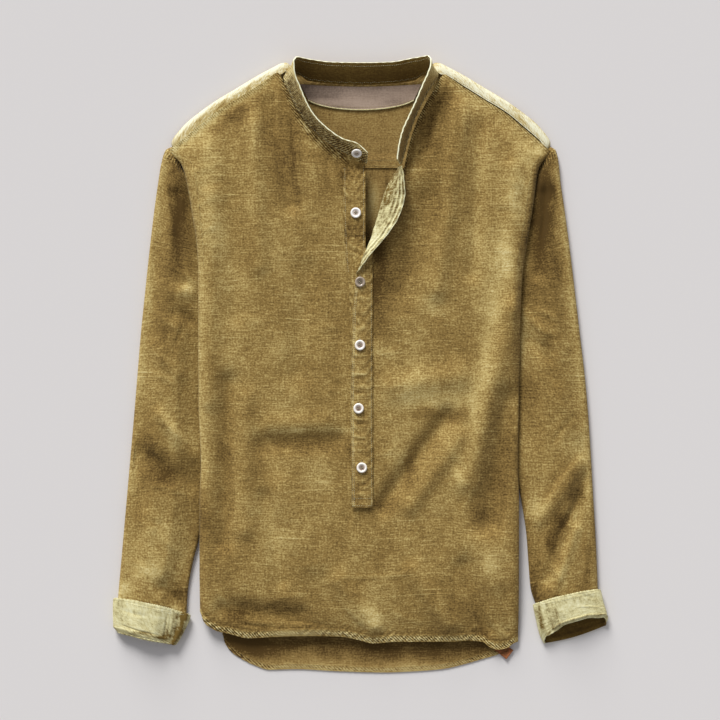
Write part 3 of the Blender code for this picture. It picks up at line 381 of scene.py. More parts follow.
LEFT_SLEEVE_FOLDS = table(Fold, (
    (-226, 88, -206, 86, 8, 2), (-222, 62, -206, 54, 8, -3.5), (-243, -62, -204, -112, 8, 4),
    (-270, -112, -206, -142, 14, -5), (-222, 205, -216, 100, 8, -4), (-262, -190, -240, -250, 12, 2.5),
    (-240, -272, -215, -292, 8, -4), (-252, 20, -222, -12, 9, 2),
))
RIGHT_SLEEVE_FOLDS = table(Fold, (
    (220, 205, 214, 110, 9, -4.5), (200, 60, 222, 36, 7, 3), (204, 30, 226, 10, 8, -3.5),
    (266, -122, 216, -188, 9, 4), (275, -140, 226, -262, 10, -5), (258, -200, 230, -280, 7, 4),
    (268, -150, 278, -262, 7, 2), (240, -40, 264, -80, 12, 2.5),
))
LEFT_SLEEVE_CREASES = table(Crease, (
    (-232, 236, -222, 150, 3.2, -2, 3), (-214, 130, -204, 96, 3, 1.4, 2),
    (-236, 120, -206, 100, 3.2, 1.2, -3), (-252, 70, -214, 40, 3.6, 1.4, 4),
    (-212, 52, -226, 6, 3.4, -1.4, 3), (-256, -10, -216, -34, 3.8, 1.2, -4),
    (-244, -58, -206, -98, 3, 1.6, 3), (-270, -96, -236, -120, 4, -1.3, 3),
    (-262, -146, -210, -160, 3.6, 1.4, -4), (-276, -176, -236, -196, 3.8, -1, 3),
    (-246, -202, -214, -232, 3.4, 1.2, 3), (-280, -236, -250, -262, 3.6, 1.1, -3),
    (-240, -246, -218, -276, 3.2, -1.5, 2), (-262, 160, -250, 60, 4, 0.9, 4),
))
RIGHT_SLEEVE_CREASES = table(Crease, (
    (224, 236, 216, 130, 3.4, -2, -3), (232, 150, 246, 90, 3.6, -1.1, 3), (206, 66, 238, 52, 3, 1.6, -3),
    (204, 46, 240, 28, 3, -1.4, 3), (204, 30, 246, 4, 3.2, 1.4, 3), (214, -14, 250, -44, 3.8, 1.1, -4),
    (262, -60, 230, -100, 3.6, -1.1, 3), (268, -112, 222, -176, 3.4, 1.6, 4),
    (272, -136, 232, -214, 3.4, -1.6, -4), (262, -176, 230, -250, 3.4, 1.5, 3),
    (220, -190, 214, -252, 3.2, -1.1, 2), (280, -170, 272, -246, 3.4, 1, 2),
    (226, -242, 250, -276, 3.2, 1.2, -3),
))
# painted light and painted shade on the left sleeve: dark in the recess beside the body, lighter on its
# rolls and ridges
LEFT_SLEEVE_PATCHES = table(Patch, (
    (-219, 168, 12, 76, -1.15), (-211, 90, 10, 12, 0.42), (-208, 56, 8, 12, -0.5), (-216, -92, 20, 26, 0.34),
    (-232, -124, 34, 22, -0.55), (-224, -284, 12, 11, -0.5), (-284, -276, 12, 12, 0.6),
    (-246, -272, 18, 12, 0.16), (-256, -60, 20, 60, 0.06), (-250, -210, 24, 34, 0.14),
    (-226, -296, 8, 6, 0.95), (-210, 85, 12, 15, 0.45), (-261, 139, 9, 85, 0.3), (-271, 29, 7, 73, 0.3),
    (-230, -78, 11, 24, 0.45), (-214, -238, 11, 19, 0.3), (-256, -253, 22, 12, 0.65),
    (-287, -275, 10, 12, 0.3), (-226, 241, 7, 17, -0.8), (-215, 185, 10, 24, -0.4),
    (-237, 78, 10, 49, -0.45), (-238, 11, 10, 29, -0.3), (-254, -100, 15, 17, -0.7),
    (-237, -139, 19, 15, -0.6), (-275, -187, 11, 24, -0.4), (-222, -275, 12, 10, -0.5),
))
# painted light and painted shade on the right sleeve: dark in the recess beside the body, lighter on its
# rolls and ridges
RIGHT_SLEEVE_PATCHES = table(Patch, (
    (219, 176, 16, 84, -1.45), (206, 80, 12, 30, -0.4), (212, 40, 12, 10, 0.3), (270, -128, 18, 18, -0.36),
    (240, -196, 14, 60, -0.5), (258, -206, 10, 40, 0.42), (282, -200, 6, 60, -0.45),
    (226, -262, 14, 14, 0.22), (240, 10, 20, 60, 0.05), (260, -92, 19, 19, 0.35), (271, -129, 10, 32, 0.3),
    (213, -175, 13, 12, 0.55), (245, -250, 7, 29, 0.75), (278, -287, 12, 10, 0.4), (196, 41, 6, 24, 0.4),
    (242, -171, 11, 15, 0.2), (227, 205, 9, 41, -0.5), (237, 90, 11, 49, -0.5), (205, -29, 11, 19, -0.5),
    (232, -10, 12, 22, -0.3), (261, -156, 9, 19, -0.85), (244, -190, 9, 15, -0.7), (228, -216, 10, 17, -0.8),
    (214, -272, 11, 27, -0.9), (272, -238, 6, 32, -0.7), (242, -29, 10, 27, -0.2),
))
LEFT_CUFF = table(Cuff, (
    (0, -300, -287.2, -206.6, -306.9, 7, 0), (0.35, -300, -301, -212.4, -320, 0, 0),
    (0.8, -299.4, -317, -220, -334, 0, 0), (1, -294.5, -325.5, -224.4, -340.4, 0, 0),
))
RIGHT_CUFF = table(Cuff, (
    (0, 290.2, -276, 208.6, -293.6, 6, 0), (0.35, 293.6, -291, 212.5, -311, 0, 4),
    (0.8, 297.6, -308, 217, -330, 0, 13), (1, 298, -317, 221.6, -339.4, 0, 18),
))
LEFT_CUFF_CREASES = table(Crease, (
    (-295.2, -296.5, -256.4, -306.2, 1.8, -0.9, 1), (-268.5, -301.3, -256.4, -325.6, 1.6, -1, -1),
    (-253.9, -298.9, -244.2, -330.5, 1.8, 0.9, 1), (-234.5, -305, -239.4, -335.3, 1.5, -1.5, 0),
    (-228.4, -307.4, -233.3, -337.8, 1.5, 1.2, 0), (-222.3, -308.6, -227.2, -337.8, 1.4, -1.4, 0),
    (-283.1, -291.6, -285.5, -320.8, 1.8, 0.7, 1), (-295.2, -313.5, -244.2, -328.1, 1.3, -1.4, 1),
    (-296.5, -318.3, -244.2, -332.9, 1.2, 1, 1),
))
# painted shade in the left cuff's mouth and creases, and a little painted light
LEFT_CUFF_PATCHES = table(Patch, (
    (-220, -321, 10, 17, -1.2), (-237, -328, 9, 12, -0.8), (-215, -301, 6, 5, -1.2),
    (-269, -328, 36, 4, -0.8), (-275, -301, 24, 7, 0.2),
))
RIGHT_CUFF_CREASES = table(Crease, (
    (223.6, -294, 229.6, -328.1, 1.4, -1.6, 0), (228.4, -291.6, 235.7, -325.6, 1.4, 1.2, 0),
    (233.3, -289.2, 241.8, -323.2, 1.4, -1.5, 0), (239.4, -289.2, 246.6, -315.9, 1.6, 0.8, 0),
    (253.9, -281.9, 297.7, -286.7, 1.8, -0.7, 1), (260, -296.5, 297.7, -301.3, 1.6, 0.8, -1),
    (212.6, -296.5, 221.1, -328.1, 1.6, -1, 0),
))
# painted shade in the right cuff's creases, and a little painted light
RIGHT_CUFF_PATCHES = table(Patch, (
    (232, -309, 6, 17, -0.5), (217, -309, 6, 19, -0.3), (266, -294, 22, 9, 0.25),
))
BUTTONS = table(Edge, (
    (-5.2, 254.6), (-6.3, 182.4), (-1, 99), (-1.2, 22.8), (-2.9, -53.5), (1, -125),
))
# a button's turned section, from its middle over the rim to its foot, as shares of radius and height
BUTTON_TURNED = ((0, 0.62), (0.3, 0.63), (0.5, 0.66), (0.585, 0.72), (0.64, 0.84), (0.7, 0.95), (0.77, 1),
                 (0.86, 0.97), (0.94, 0.84), (0.985, 0.68), (1, 0.5), (0.975, 0.28), (0.92, 0.1), (0.85, 0),
                 (0, 0))
TAB_CORNERS = table(Edge, (
    (161.5, -347), (176.4, -358.4), (185, -347.4), (170, -337),
))

Array = np.ndarray
Colour = tuple[float, float, float]
SHADES = ("Deep", "Middle", "Light", "Pale")
THREADS = ("Weft", "Warp", "Slub", "Grain")


# ---- reading the tables and shaping cloth -------------------------------------------------
def read(rows: Sequence[Any], at: Any, column: str) -> Array:
    """Read a column between rows, on a smooth curve that never overshoots.

    Args:
        rows: The table, whose first column rises.
        at: Where to read, in the first column's measure.
        column: The name of the column.

    Returns:
        The values, in the shape of `at`.
    """
    keys = np.array([row[0] for row in rows], float)
    values = np.array([getattr(row, column) for row in rows], float)
    at = np.clip(np.asarray(at, float), keys[0], keys[-1])
    steps = np.diff(values) / np.diff(keys)
    before, after = steps[:-1], steps[1:]
    slopes = np.zeros(len(keys))
    same = before * after > 0
    slopes[1:-1][same] = 2 * before[same] * after[same] / (before[same] + after[same])
    low = np.clip(np.searchsorted(keys, at, side="right") - 1, 0, len(keys) - 2)
    span = keys[low + 1] - keys[low]
    t = (at - keys[low]) / span
    return (values[low] * (2 * t ** 3 - 3 * t ** 2 + 1) + slopes[low] * span * (t ** 3 - 2 * t ** 2 + t)
            + values[low + 1] * (3 * t ** 2 - 2 * t ** 3) + slopes[low + 1] * span * (t ** 3 - t ** 2))


def mix(start: Any, end: Any, share: Any) -> Any:
    """Go from start to end by a share."""
    return start + (end - start) * share


def ease(share: Any) -> Any:
    """Go softly from 0 to 1."""
    share = np.clip(share, 0.0, 1.0)
    return share * share * (3 - 2 * share)


def bell(distance: Any, width: float) -> Any:
    """Give a soft bump, 1 at no distance and almost 0 at two widths."""
    return np.exp(-(distance / width) ** 2)


def rumple(x: Any, y: Any, cell_x: float, cell_y: float, seed: int) -> Array:
    """Give soft unevenness from -1 to 1, the same on each run.

    Args:
        x: Places across, in millimetres.
        y: Places along, in millimetres.
        cell_x: Size of one lump across.
        cell_y: Size of one lump along.
        seed: Which unevenness.

    Returns:
        The values, in the shape of x and y together.
    """
    count = 97
    lattice = np.random.default_rng(seed).uniform(-1, 1, (count, count))
    across = np.asarray(x, float) / cell_x + 31.7
    along = np.asarray(y, float) / cell_y + 17.3
    column = np.floor(across).astype(int)
    row = np.floor(along).astype(int)

    def lumps(down: int) -> Array:
        """Give the unevenness along the lattice's row before or after a place."""
        near = lattice[(row + down) % count, column % count]
        return mix(near, lattice[(row + down) % count, (column + 1) % count], ease(across - column))

    return mix(lumps(0), lumps(1), ease(along - row))


def crinkle(x: Any, y: Any, seed: int) -> Array:
    """Give the small uneven swells of washed linen, in millimetres of height."""
    return (0.42 * rumple(x, y, 17, 26, seed) + 0.26 * rumple(x + 0.3 * y, y, 8, 13, seed + 1)
            + 0.16 * rumple(x, y - 0.2 * x, 5.5, 6.5, seed + 2))


def folded(folds: Sequence[Fold], x: Any, y: Any) -> Array:
    """Give the height that the large folds add."""
    total = np.zeros(np.broadcast(x, y).shape)
    for fold in folds:
        along_x = fold.x1 - fold.x0
        along_y = fold.y1 - fold.y0
        share = ((x - fold.x0) * along_x + (y - fold.y0) * along_y) / (along_x ** 2 + along_y ** 2)
        share = np.clip(share, 0.0, 1.0)
        away = np.hypot(x - fold.x0 - share * along_x, y - fold.y0 - share * along_y)
        total += fold.height * bell(away, fold.width)
    return total


def creased(creases: Sequence[Crease], x: Any, y: Any) -> Array:
    """Give the height that the small creases add, each with a faint dip beside it."""
    total = np.zeros(np.broadcast(x, y).shape)
    for crease in creases:
        along_x = crease.x1 - crease.x0
        along_y = crease.y1 - crease.y0
        length = math.hypot(along_x, along_y)
        share = ((x - crease.x0) * along_x + (y - crease.y0) * along_y) / length ** 2
        taper = np.clip(4 * share * (1 - share), 0, 1) ** 0.7
        side = ((x - crease.x0) * along_y - (y - crease.y0) * along_x) / length
        side = side - crease.bow * np.sin(math.pi * np.clip(share, 0, 1))
        total += crease.height * taper * (bell(side, crease.width) - 0.3 * bell(side, 2.4 * crease.width))
    return total


def painted_patches(patches: Sequence[Patch], x: Any, y: Any, seed: int) -> Array:
    """Give the painted light and painted shade of the patches, with ragged borders."""
    ragged_x = x + 5 * rumple(x, y, 14, 18, seed) + 2.5 * rumple(x, y, 5, 6, seed + 1)
    ragged_y = y + 5 * rumple(x, y, 18, 14, seed + 2)
    total = np.zeros(np.broadcast(x, y).shape)
    for patch in patches:
        total += patch.tone * np.exp(-((ragged_x - patch.x) / patch.wide) ** 2
                                     - ((ragged_y - patch.y) / patch.high) ** 2)
    return total


@dataclass(frozen=True)
class Pucker:
    """A stitched edge: a raised band, and the ripples that its thread draws up."""

    band: float      # width of the stitched band
    raised: float    # how far the band stands up
    pitch: float     # from ripple to ripple
    height: float    # of a ripple
    slant: float     # how far a ripple leans, for each millimetre inwards
    fade: float      # how far ripples run past the stitches
    seed: int

    def relief(self, along: Any, inward: Any) -> Array:
        """Give the height at places along the edge and inwards from it."""
        wander = 0.5 * self.pitch * rumple(along, 0 * along, 2.6 * self.pitch, 1, self.seed)
        uneven = 0.65 + 0.35 * rumple(along, 0 * along, 1.7 * self.pitch, 1, self.seed + 1)
        wave = np.cos(2 * math.pi * (along + self.slant * inward + wander) / self.pitch)
        within = 1 - ease((inward - self.band + 0.6) / 1.6)
        past = (1 - within) * np.exp(-np.maximum(inward - self.band, 0) / self.fade)
        groove = -0.3 * bell(inward - self.band + 1.4, 0.9)
        return within * self.raised + groove + self.height * uneven * wave * (within + 0.7 * past)


# ---- grids and meshes ---------------------------------------------------------------------
@dataclass
class Grid:
    """A stretch of cloth as rows of points."""

    points: Array    # rows x columns x 3, in the tables' millimetres
    cloth: Array     # rows x columns x 2, millimetres along the weft and the warp
    tone: Array      # rows x columns, lighter above 0 and darker below: painted light and shade, and uneven dye
    rope: Array | None = None    # rows x columns, how far the sewing draws it into slanted ribs

    def turned(self) -> "Grid":
        """Give the same cloth with its columns the other way round, so that it faces the other way."""
        rope = None if self.rope is None else self.rope[:, ::-1]
        return Grid(self.points[:, ::-1], self.cloth[:, ::-1], self.tone[:, ::-1], rope)


class Slot(Enum):
    """The record's material slots."""

    LINEN = "linen"
    REVERSE = "linen_reverse"
    FACING = "facing"
    BUTTON = "button"
    TAB = "tab"


def to_frame(points: Array) -> Array:
    """Turn the tables' millimetres into the frame's metres."""
    return (np.asarray(points, float) - ORIGIN) * MM


def grid_mesh(name: str, grids: Sequence[Grid], joined: bool) -> bpy.types.Mesh:
    """Make one open mesh of the grids, with its cloth UV map and its tone.

    Args:
        name: The mesh's name.
        grids: The stretches of cloth.
        joined: Whether points that meet become one.

    Returns:
        The mesh, in metres.
    """
    points, quads, cloth, tones, ropes = [], [], [], [], []
    start = 0
    for grid in grids:
        rows, columns = grid.tone.shape
        index = np.arange(rows * columns).reshape(rows, columns)
        corners = np.stack((index[:-1, :-1], index[:-1, 1:], index[1:, 1:], index[1:, :-1]), -1)
        corners = corners.reshape(-1, 4)
        points.append(to_frame(grid.points.reshape(-1, 3)))
        tones.append(grid.tone.reshape(-1))
        ropes.append(np.zeros(grid.tone.size) if grid.rope is None else grid.rope.reshape(-1))
        cloth.append((grid.cloth.reshape(-1, 2) * MM)[corners.reshape(-1)])
        quads.append(corners + start)
        start += rows * columns
    mesh = bpy.data.meshes.new(name)
    mesh.from_pydata(np.concatenate(points).tolist(), [], np.concatenate(quads).tolist())
    layer = mesh.uv_layers.new(name="cloth")
    layer.uv.foreach_set("vector", np.concatenate(cloth).astype(np.float32).reshape(-1))
    for title, values in (("tone", tones), ("rope", ropes)):
        mask = mesh.attributes.new(title, "FLOAT", "POINT")
        mask.data.foreach_set("value", np.concatenate(values).astype(np.float32))
    if joined:
        build = bmesh.new()
        build.from_mesh(mesh)
        bmesh.ops.remove_doubles(build, verts=build.verts, dist=0.00001)
        build.to_mesh(mesh)
        build.free()
    return mesh


def pair(x: Any, y: Any) -> Array:
    """Put places across and along side by side."""
    return np.stack(np.broadcast_arrays(x, y), -1)


def outwards(points: Array) -> Array:
    """Give the directions that stand off a grid of points."""
    across = np.cross(np.gradient(points, axis=0), np.gradient(points, axis=1))
    return across / np.maximum(np.linalg.norm(across, axis=2), 1e-6)[..., None]


def gone_along(points: Array, axis: int) -> Array:
    """Give how far each point of a grid has gone along its rows or its columns."""
    steps = np.linalg.norm(np.diff(points, axis=axis), axis=2)
    return np.insert(np.cumsum(steps, axis), 0, 0, axis)


def ends(rings: Sequence[Any], at: Any) -> tuple[Array, Array]:
    """Give the outer and the inner ends of a tube's sections."""
    return (pair(read(rings, at, "outer_x"), read(rings, at, "outer_y")),
            pair(read(rings, at, "inner_x"), read(rings, at, "inner_y")))


def link(name: str, data: Any) -> bpy.types.Object:
    """Put a mesh, a curve, a light or a camera into the scene."""
    made = bpy.data.objects.new(name, data)
    bpy.context.scene.collection.objects.link(made)
    return made


def as_shown(made: bpy.types.Object) -> bpy.types.Mesh:
    """Make a mesh of an object as it shows."""
    bpy.context.view_layer.update()
    return bpy.data.meshes.new_from_object(made.evaluated_get(bpy.context.evaluated_depsgraph_get()))


def plain(made: bpy.types.Object) -> bpy.types.Object:
    """Turn an object's modifiers into its mesh."""
    result = as_shown(made)
    made.modifiers.clear()
    old = made.data
    made.data = result
    result.name = made.name
    bpy.data.meshes.remove(old)
    return made


def ride(made: bpy.types.Object, slot: Slot) -> bpy.types.Object:
    """Let a piece ride on the shirt, and log its triangles and the slot of its finish."""
    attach(made, BODY)
    triangles = sum(len(face.vertices) - 2 for face in made.data.polygons)
    LOG.info("%s: %d triangles, slot %s", made.name, triangles, slot.value)
    return made


def shell(name: str, grids: Sequence[Grid], finishes: Sequence[bpy.types.Material], slot: Slot = Slot.LINEN,
          wall: float = CLOTH, joined: bool = False) -> bpy.types.Object:
    """Give grids of cloth a wall, and let the piece ride on the shirt.

    Args:
        name: The piece's name.
        grids: Its stretches of cloth, wound so that the face side looks out.
        finishes: The face's, the reverse's and the cut edge's materials.
        slot: The slot of its finish.
        wall: The wall in millimetres, half to either side.
        joined: Whether points that meet become one.

    Returns:
        The piece as a plain mesh.
    """
    made = link(name, grid_mesh(name, grids, joined))
    for finish in finishes:
        made.data.materials.append(finish)
    solid = made.modifiers.new("wall", "SOLIDIFY")
    solid.thickness = wall * MM
    solid.offset = 0.0
    solid.material_offset = 1
    solid.material_offset_rim = 2
    plain(made)
    made.data.shade_smooth()
    made.data.set_sharp_from_angle(angle=math.radians(SMOOTH_TO))
    return ride(made, slot)


def surface_tree(made: bpy.types.Object) -> BVHTree:
    """Make a tree that finds the surface of a piece."""
    mesh = made.data
    return BVHTree.FromPolygons([vertex.co for vertex in mesh.vertices],
                                [tuple(face.vertices) for face in mesh.polygons])


def lay_on(trees: Sequence[BVHTree], path: Array, lift: float) -> Array:
    """Drop a path onto the highest of some surfaces.

    Args:
        trees: The surfaces.
        path: Points of x and y in the tables' millimetres.
        lift: How far the path stays above the surface, in millimetres.

    Returns:
        The path's points in metres, without those that miss.
    """
    laid = []
    for x, y in path:
        start = Vector(to_frame(np.array((x, y, 90.0))))
        hits = [tree.ray_cast(start, Vector((0, 0, -1))) for tree in trees]
        hits = [hit for hit in hits if hit[0] is not None]
        if hits:
            best = max(hits, key=lambda hit: hit[0].z)
            laid.append(best[0] + best[1] * lift * MM)
    return np.array([tuple(point) for point in laid])


# ---- finishes -----------------------------------------------------------------------------
def srgb(red: float, green: float, blue: float) -> tuple[float, float, float, float]:
    """Turn a display colour from 0 to 255 into linear light."""
    parts = [value / 255 for value in (red, green, blue)]
    return (*(part / 12.92 if part <= 0.04045 else ((part + 0.055) / 1.055) ** 2.4 for part in parts), 1.0)


@dataclass
class Nodes:
    """Adds nodes to a shader's or a modifier's tree."""

    tree: bpy.types.NodeTree

    def feed(self, node: bpy.types.Node, values: dict[Any, Any]) -> None:
        """Put values, or other nodes' outputs, into a node's inputs."""
        for key, value in values.items():
            if isinstance(value, bpy.types.NodeSocket):
                self.tree.links.new(value, node.inputs[key])
            else:
                node.inputs[key].default_value = value

    def add(self, kind: str, values: dict[Any, Any] | None = None, **settings: Any) -> bpy.types.Node:
        """Add a node.

        Args:
            kind: The node's type.
            values: What goes into its inputs, a value or another node's output.
            settings: The node's own properties.

        Returns:
            The node.
        """
        node = self.tree.nodes.new(kind)
        for name, value in settings.items():
            setattr(node, name, value)
        self.feed(node, values or {})
        return node

    def maths(self, operation: str, *values: Any) -> bpy.types.NodeSocket:
        """Add a calculation and give its result."""
        return self.add("ShaderNodeMath", dict(enumerate(values)), operation=operation).outputs[0]

    def noise(self, place: bpy.types.NodeSocket, stretch: tuple[float, float, float], detail: float) -> Any:
        """Add an uneven pattern, stretched over a place, and give its strength."""
        scaled = self.add("ShaderNodeVectorMath", {0: place, 1: stretch}, operation="MULTIPLY").outputs[0]
        values = {"Vector": scaled, "Scale": 1.0, "Detail": detail}
        return self.add("ShaderNodeTexNoise", values).outputs["Fac"]

    def spread(self, value: Any, low: float, high: float, to_low: float = 0.0, to_high: float = 1.0) -> Any:
        """Stretch a range of a value to another range."""
        ends = {"From Min": low, "From Max": high, "To Min": to_low, "To Max": to_high}
        return self.add("ShaderNodeMapRange", {"Value": value, **ends}).outputs[0]

    def total(self, *parts: tuple[Any, float]) -> Any:
        """Add up values, each times its weight."""
        result = self.maths("MULTIPLY", *parts[0])
        for value, weight in parts[1:]:
            result = self.maths("MULTIPLY_ADD", value, weight, result)
        return result

    def centred(self, value: Any) -> Any:
        """Shift a value from around a half to around nothing."""
        return self.maths("SUBTRACT", value, 0.5)

    def blend(self, share: Any, low: Any, high: Any) -> Any:
        """Mix two colours by a share."""
        return self.add("ShaderNodeMix", {0: share, 6: low, 7: high}, data_type="RGBA").outputs[2]

    def bump(self, height: Any, distance: float, **below: Any) -> Any:
        """Add relief of some millimetres over a normal."""
        return self.add("ShaderNodeBump", {"Height": height, "Strength": 1.0, "Distance": distance * MM,
                                           **below}).outputs[0]

    def carried(self, name: str) -> Any:
        """Read a value that the mesh's points carry."""
        return self.add("ShaderNodeAttribute", attribute_name=name).outputs["Fac"]

    def place(self) -> Any:
        """Read places on the piece."""
        return self.add("ShaderNodeTexCoord").outputs["Object"]

    def group(self, tree: bpy.types.NodeTree, values: dict[str, Any]) -> Any:
        """Place a shader group and give its outputs."""
        return self.add("ShaderNodeGroup", values, node_tree=tree).outputs

    def give(self, values: dict[str, Any]) -> bpy.types.NodeTree:
        """Put out what a shader group makes, and give the group."""
        self.feed(self.tree.nodes["out"], values)
        return self.tree


def new_group(name: str, inputs: dict[str, Any], outputs: Sequence[str]) -> Nodes:
    """Make an empty shader group with its sockets.

    Args:
        name: The group's name.
        inputs: Each input's first value: none for a place, a number or a colour.
        outputs: The outputs' names, numbers but for the one called Colour.

    Returns:
        The group's tree, with its two end nodes.
    """
    tree = bpy.data.node_groups.new(name, "ShaderNodeTree")
    for title, value in inputs.items():
        kind = "Vector" if value is None else "Float" if isinstance(value, float) else "Color"
        socket = tree.interface.new_socket(title, in_out="INPUT", socket_type="NodeSocket" + kind)
        if value is not None:
            socket.default_value = value
    for title in outputs:
        kind = "Color" if title == "Colour" else "Float"
        tree.interface.new_socket(title, in_out="OUTPUT", socket_type="NodeSocket" + kind)
    nodes = Nodes(tree)
    nodes.add("NodeGroupInput", name="in")
    nodes.add("NodeGroupOutput", name="out")
    return nodes


def slub_weave_group() -> bpy.types.NodeTree:
    """Make the group of a slubby plain weave: its threads, its thick slubs and its relief."""
    nodes = new_group("slub weave", {"Cloth": None}, (*THREADS, "Relief"))
    place = nodes.tree.nodes["in"].outputs["Cloth"]
    weft = nodes.noise(place, (60.0, 700.0, 1.0), 3.0)
    warp = nodes.noise(place, (640.0, 70.0, 5.0), 3.0)
    grain = nodes.noise(place, (430.0, 520.0, 7.0), 3.0)
    slub = nodes.spread(nodes.noise(place, (8.0, 560.0, 11.0), 1.0), 0.64, 0.74)
    relief = nodes.total((weft, 0.35), (warp, 0.25), (grain, 0.9), (slub, 0.5))
    return nodes.give({"Weft": weft, "Warp": warp, "Slub": slub, "Grain": grain, "Relief": relief})


def crumple_group() -> bpy.types.NodeTree:
    """Make the group of the small dents of washed cloth."""
    nodes = new_group("washed crumple", {"Cloth": None}, ("Relief",))
    place = nodes.tree.nodes["in"].outputs["Cloth"]
    coarse = nodes.noise(place, (75.0, 60.0, 1.0), 3.0)
    fine = nodes.noise(place, (210.0, 190.0, 1.0), 3.0)
    return nodes.give({"Relief": nodes.total((coarse, 0.8), (fine, 0.4))})


def roped_seam_group() -> bpy.types.NodeTree:
    """Make the group of the fine slanted ribs that a hem's stitches draw up: their relief, and a tone that
    follows it as painted light on the ribs and painted shade between them.
    """
    nodes = new_group("roped seam", {"Cloth": None, "Rope": 0.0}, ("Tone", "Relief"))
    given = nodes.tree.nodes["in"].outputs
    wave = nodes.add("ShaderNodeTexWave", {"Vector": given["Cloth"], "Scale": 170.0, "Distortion": 3.0,
                                           "Detail": 2.0, "Detail Scale": 0.9},
                     bands_direction="DIAGONAL").outputs["Fac"]
    tuft = nodes.noise(given["Cloth"], (210.0, 260.0, 3.0), 2.0)
    rib = nodes.maths("ADD", nodes.centred(wave), nodes.maths("MULTIPLY", nodes.centred(tuft), 2.2))
    rib = nodes.maths("MULTIPLY", rib, given["Rope"])
    # the tone is the relief again: painted light on the ribs and painted shade between them
    return nodes.give({"Relief": rib, "Tone": nodes.maths("MULTIPLY", rib, 2.4)})


def painted_tone_colour_group() -> bpy.types.NodeTree:
    """Make the group that colours the cloth from its tone and its threads; the tone carries painted light
    and shade as well as uneven dye.
    """
    first = {"Cloth": None, "Tone": 0.0, "Contrast": 1.0, **dict.fromkeys(THREADS, 0.5),
             **dict.fromkeys(SHADES, srgb(128, 128, 128))}
    nodes = new_group("painted tone colour", first, ("Colour", "Lightness"))
    given = nodes.tree.nodes["in"].outputs
    blotch = nodes.noise(given["Cloth"], (24.0, 14.0, 2.0), 3.0)
    mottle = nodes.noise(given["Cloth"], (130.0, 170.0, 4.0), 3.0)
    threads = nodes.total((nodes.centred(given["Weft"]), 0.68), (nodes.centred(given["Warp"]), 0.40),
                          (nodes.centred(given["Grain"]), 1.1), (given["Slub"], 0.21))
    uneven = nodes.total((nodes.centred(blotch), 0.4), (nodes.centred(mottle), 0.3))
    both = nodes.maths("MULTIPLY", nodes.maths("ADD", threads, uneven), given["Contrast"])
    level = nodes.maths("MULTIPLY_ADD", given["Tone"], 0.42, nodes.maths("ADD", both, 0.45))
    colour = given["Deep"]
    for title, low, high in (("Middle", 0.0, 0.45), ("Light", 0.45, 0.75), ("Pale", 0.75, 1.15)):
        colour = nodes.blend(nodes.spread(level, low, high), colour, given[title])
    return nodes.give({"Colour": colour, "Lightness": level})


def new_finish(name: str) -> tuple[bpy.types.Material, Nodes, bpy.types.Node]:
    """Start a material, and give it with its nodes and its shader."""
    made = bpy.data.materials.new(name)
    made.use_nodes = True
    return made, Nodes(made.node_tree), made.node_tree.nodes["Principled BSDF"]


def toned(colour: Colour, share: float) -> tuple[float, ...]:
    """Give a colour made darker or lighter."""
    return srgb(*(min(255, share * part) for part in colour))


@dataclass(frozen=True)
class ClothFinish:
    """A slubby washed cloth, with four shades from the deepest to the palest."""

    name: str
    shades: tuple[Colour, ...]
    contrast: float = 1.0
    thread_relief: float = 0.16       # millimetres, as are the next two
    crumple_relief: float = 0.6
    rib_relief: float = 0.9
    roughness: float = 0.86
    sheen: float = 0.16

    def build(self, groups: "Groups") -> bpy.types.Material:
        """Make the material from the shared groups."""
        made, nodes, shader = new_finish(self.name)
        cloth = {"Cloth": nodes.add("ShaderNodeUVMap", uv_map="cloth").outputs[0]}
        weave = nodes.group(groups.weave, cloth)
        crumple = nodes.group(groups.crumple, cloth)
        roped = nodes.group(groups.roped, {"Rope": nodes.carried("rope"), **cloth})
        # the tone carries painted light and shade, from the mesh's points and from the hem's ribs
        colour = nodes.group(groups.colour, {
            **cloth, "Tone": nodes.maths("ADD", nodes.carried("tone"), roped["Tone"]),
            "Contrast": self.contrast, **{title: weave[title] for title in THREADS},
            **{title: srgb(*shade) for title, shade in zip(SHADES, self.shades)}})
        dents = nodes.bump(crumple["Relief"], self.crumple_relief)
        ribs = nodes.bump(roped["Relief"], self.rib_relief, Normal=dents)
        matt, satin = self.roughness + 0.06, self.roughness - 0.06
        nodes.feed(shader, {
            "Base Color": colour["Colour"],
            "Roughness": nodes.spread(colour["Lightness"], 0.0, 1.0, matt, satin),
            "Normal": nodes.bump(weave["Relief"], self.thread_relief, Normal=ribs),
            "Sheen Weight": self.sheen, "Sheen Roughness": 0.5, "Sheen Tint": srgb(235, 225, 190),
            "Specular IOR Level": 0.25})
        return made


@dataclass(frozen=True)
class ThreadFinish:
    """A matt sewing thread."""

    name: str
    colour: Colour

    def build(self) -> bpy.types.Material:
        """Make the material, with a faint twist in its colour."""
        made, nodes, shader = new_finish(self.name)
        twist = nodes.noise(nodes.place(), (900.0, 900.0, 900.0), 2.0)
        tint = nodes.blend(nodes.spread(twist, 0.35, 0.65), toned(self.colour, 0.72), srgb(*self.colour))
        nodes.feed(shader, {"Base Color": tint, "Normal": nodes.bump(twist, 0.05), "Roughness": 0.7,
                            "Sheen Weight": 0.1})
        return made


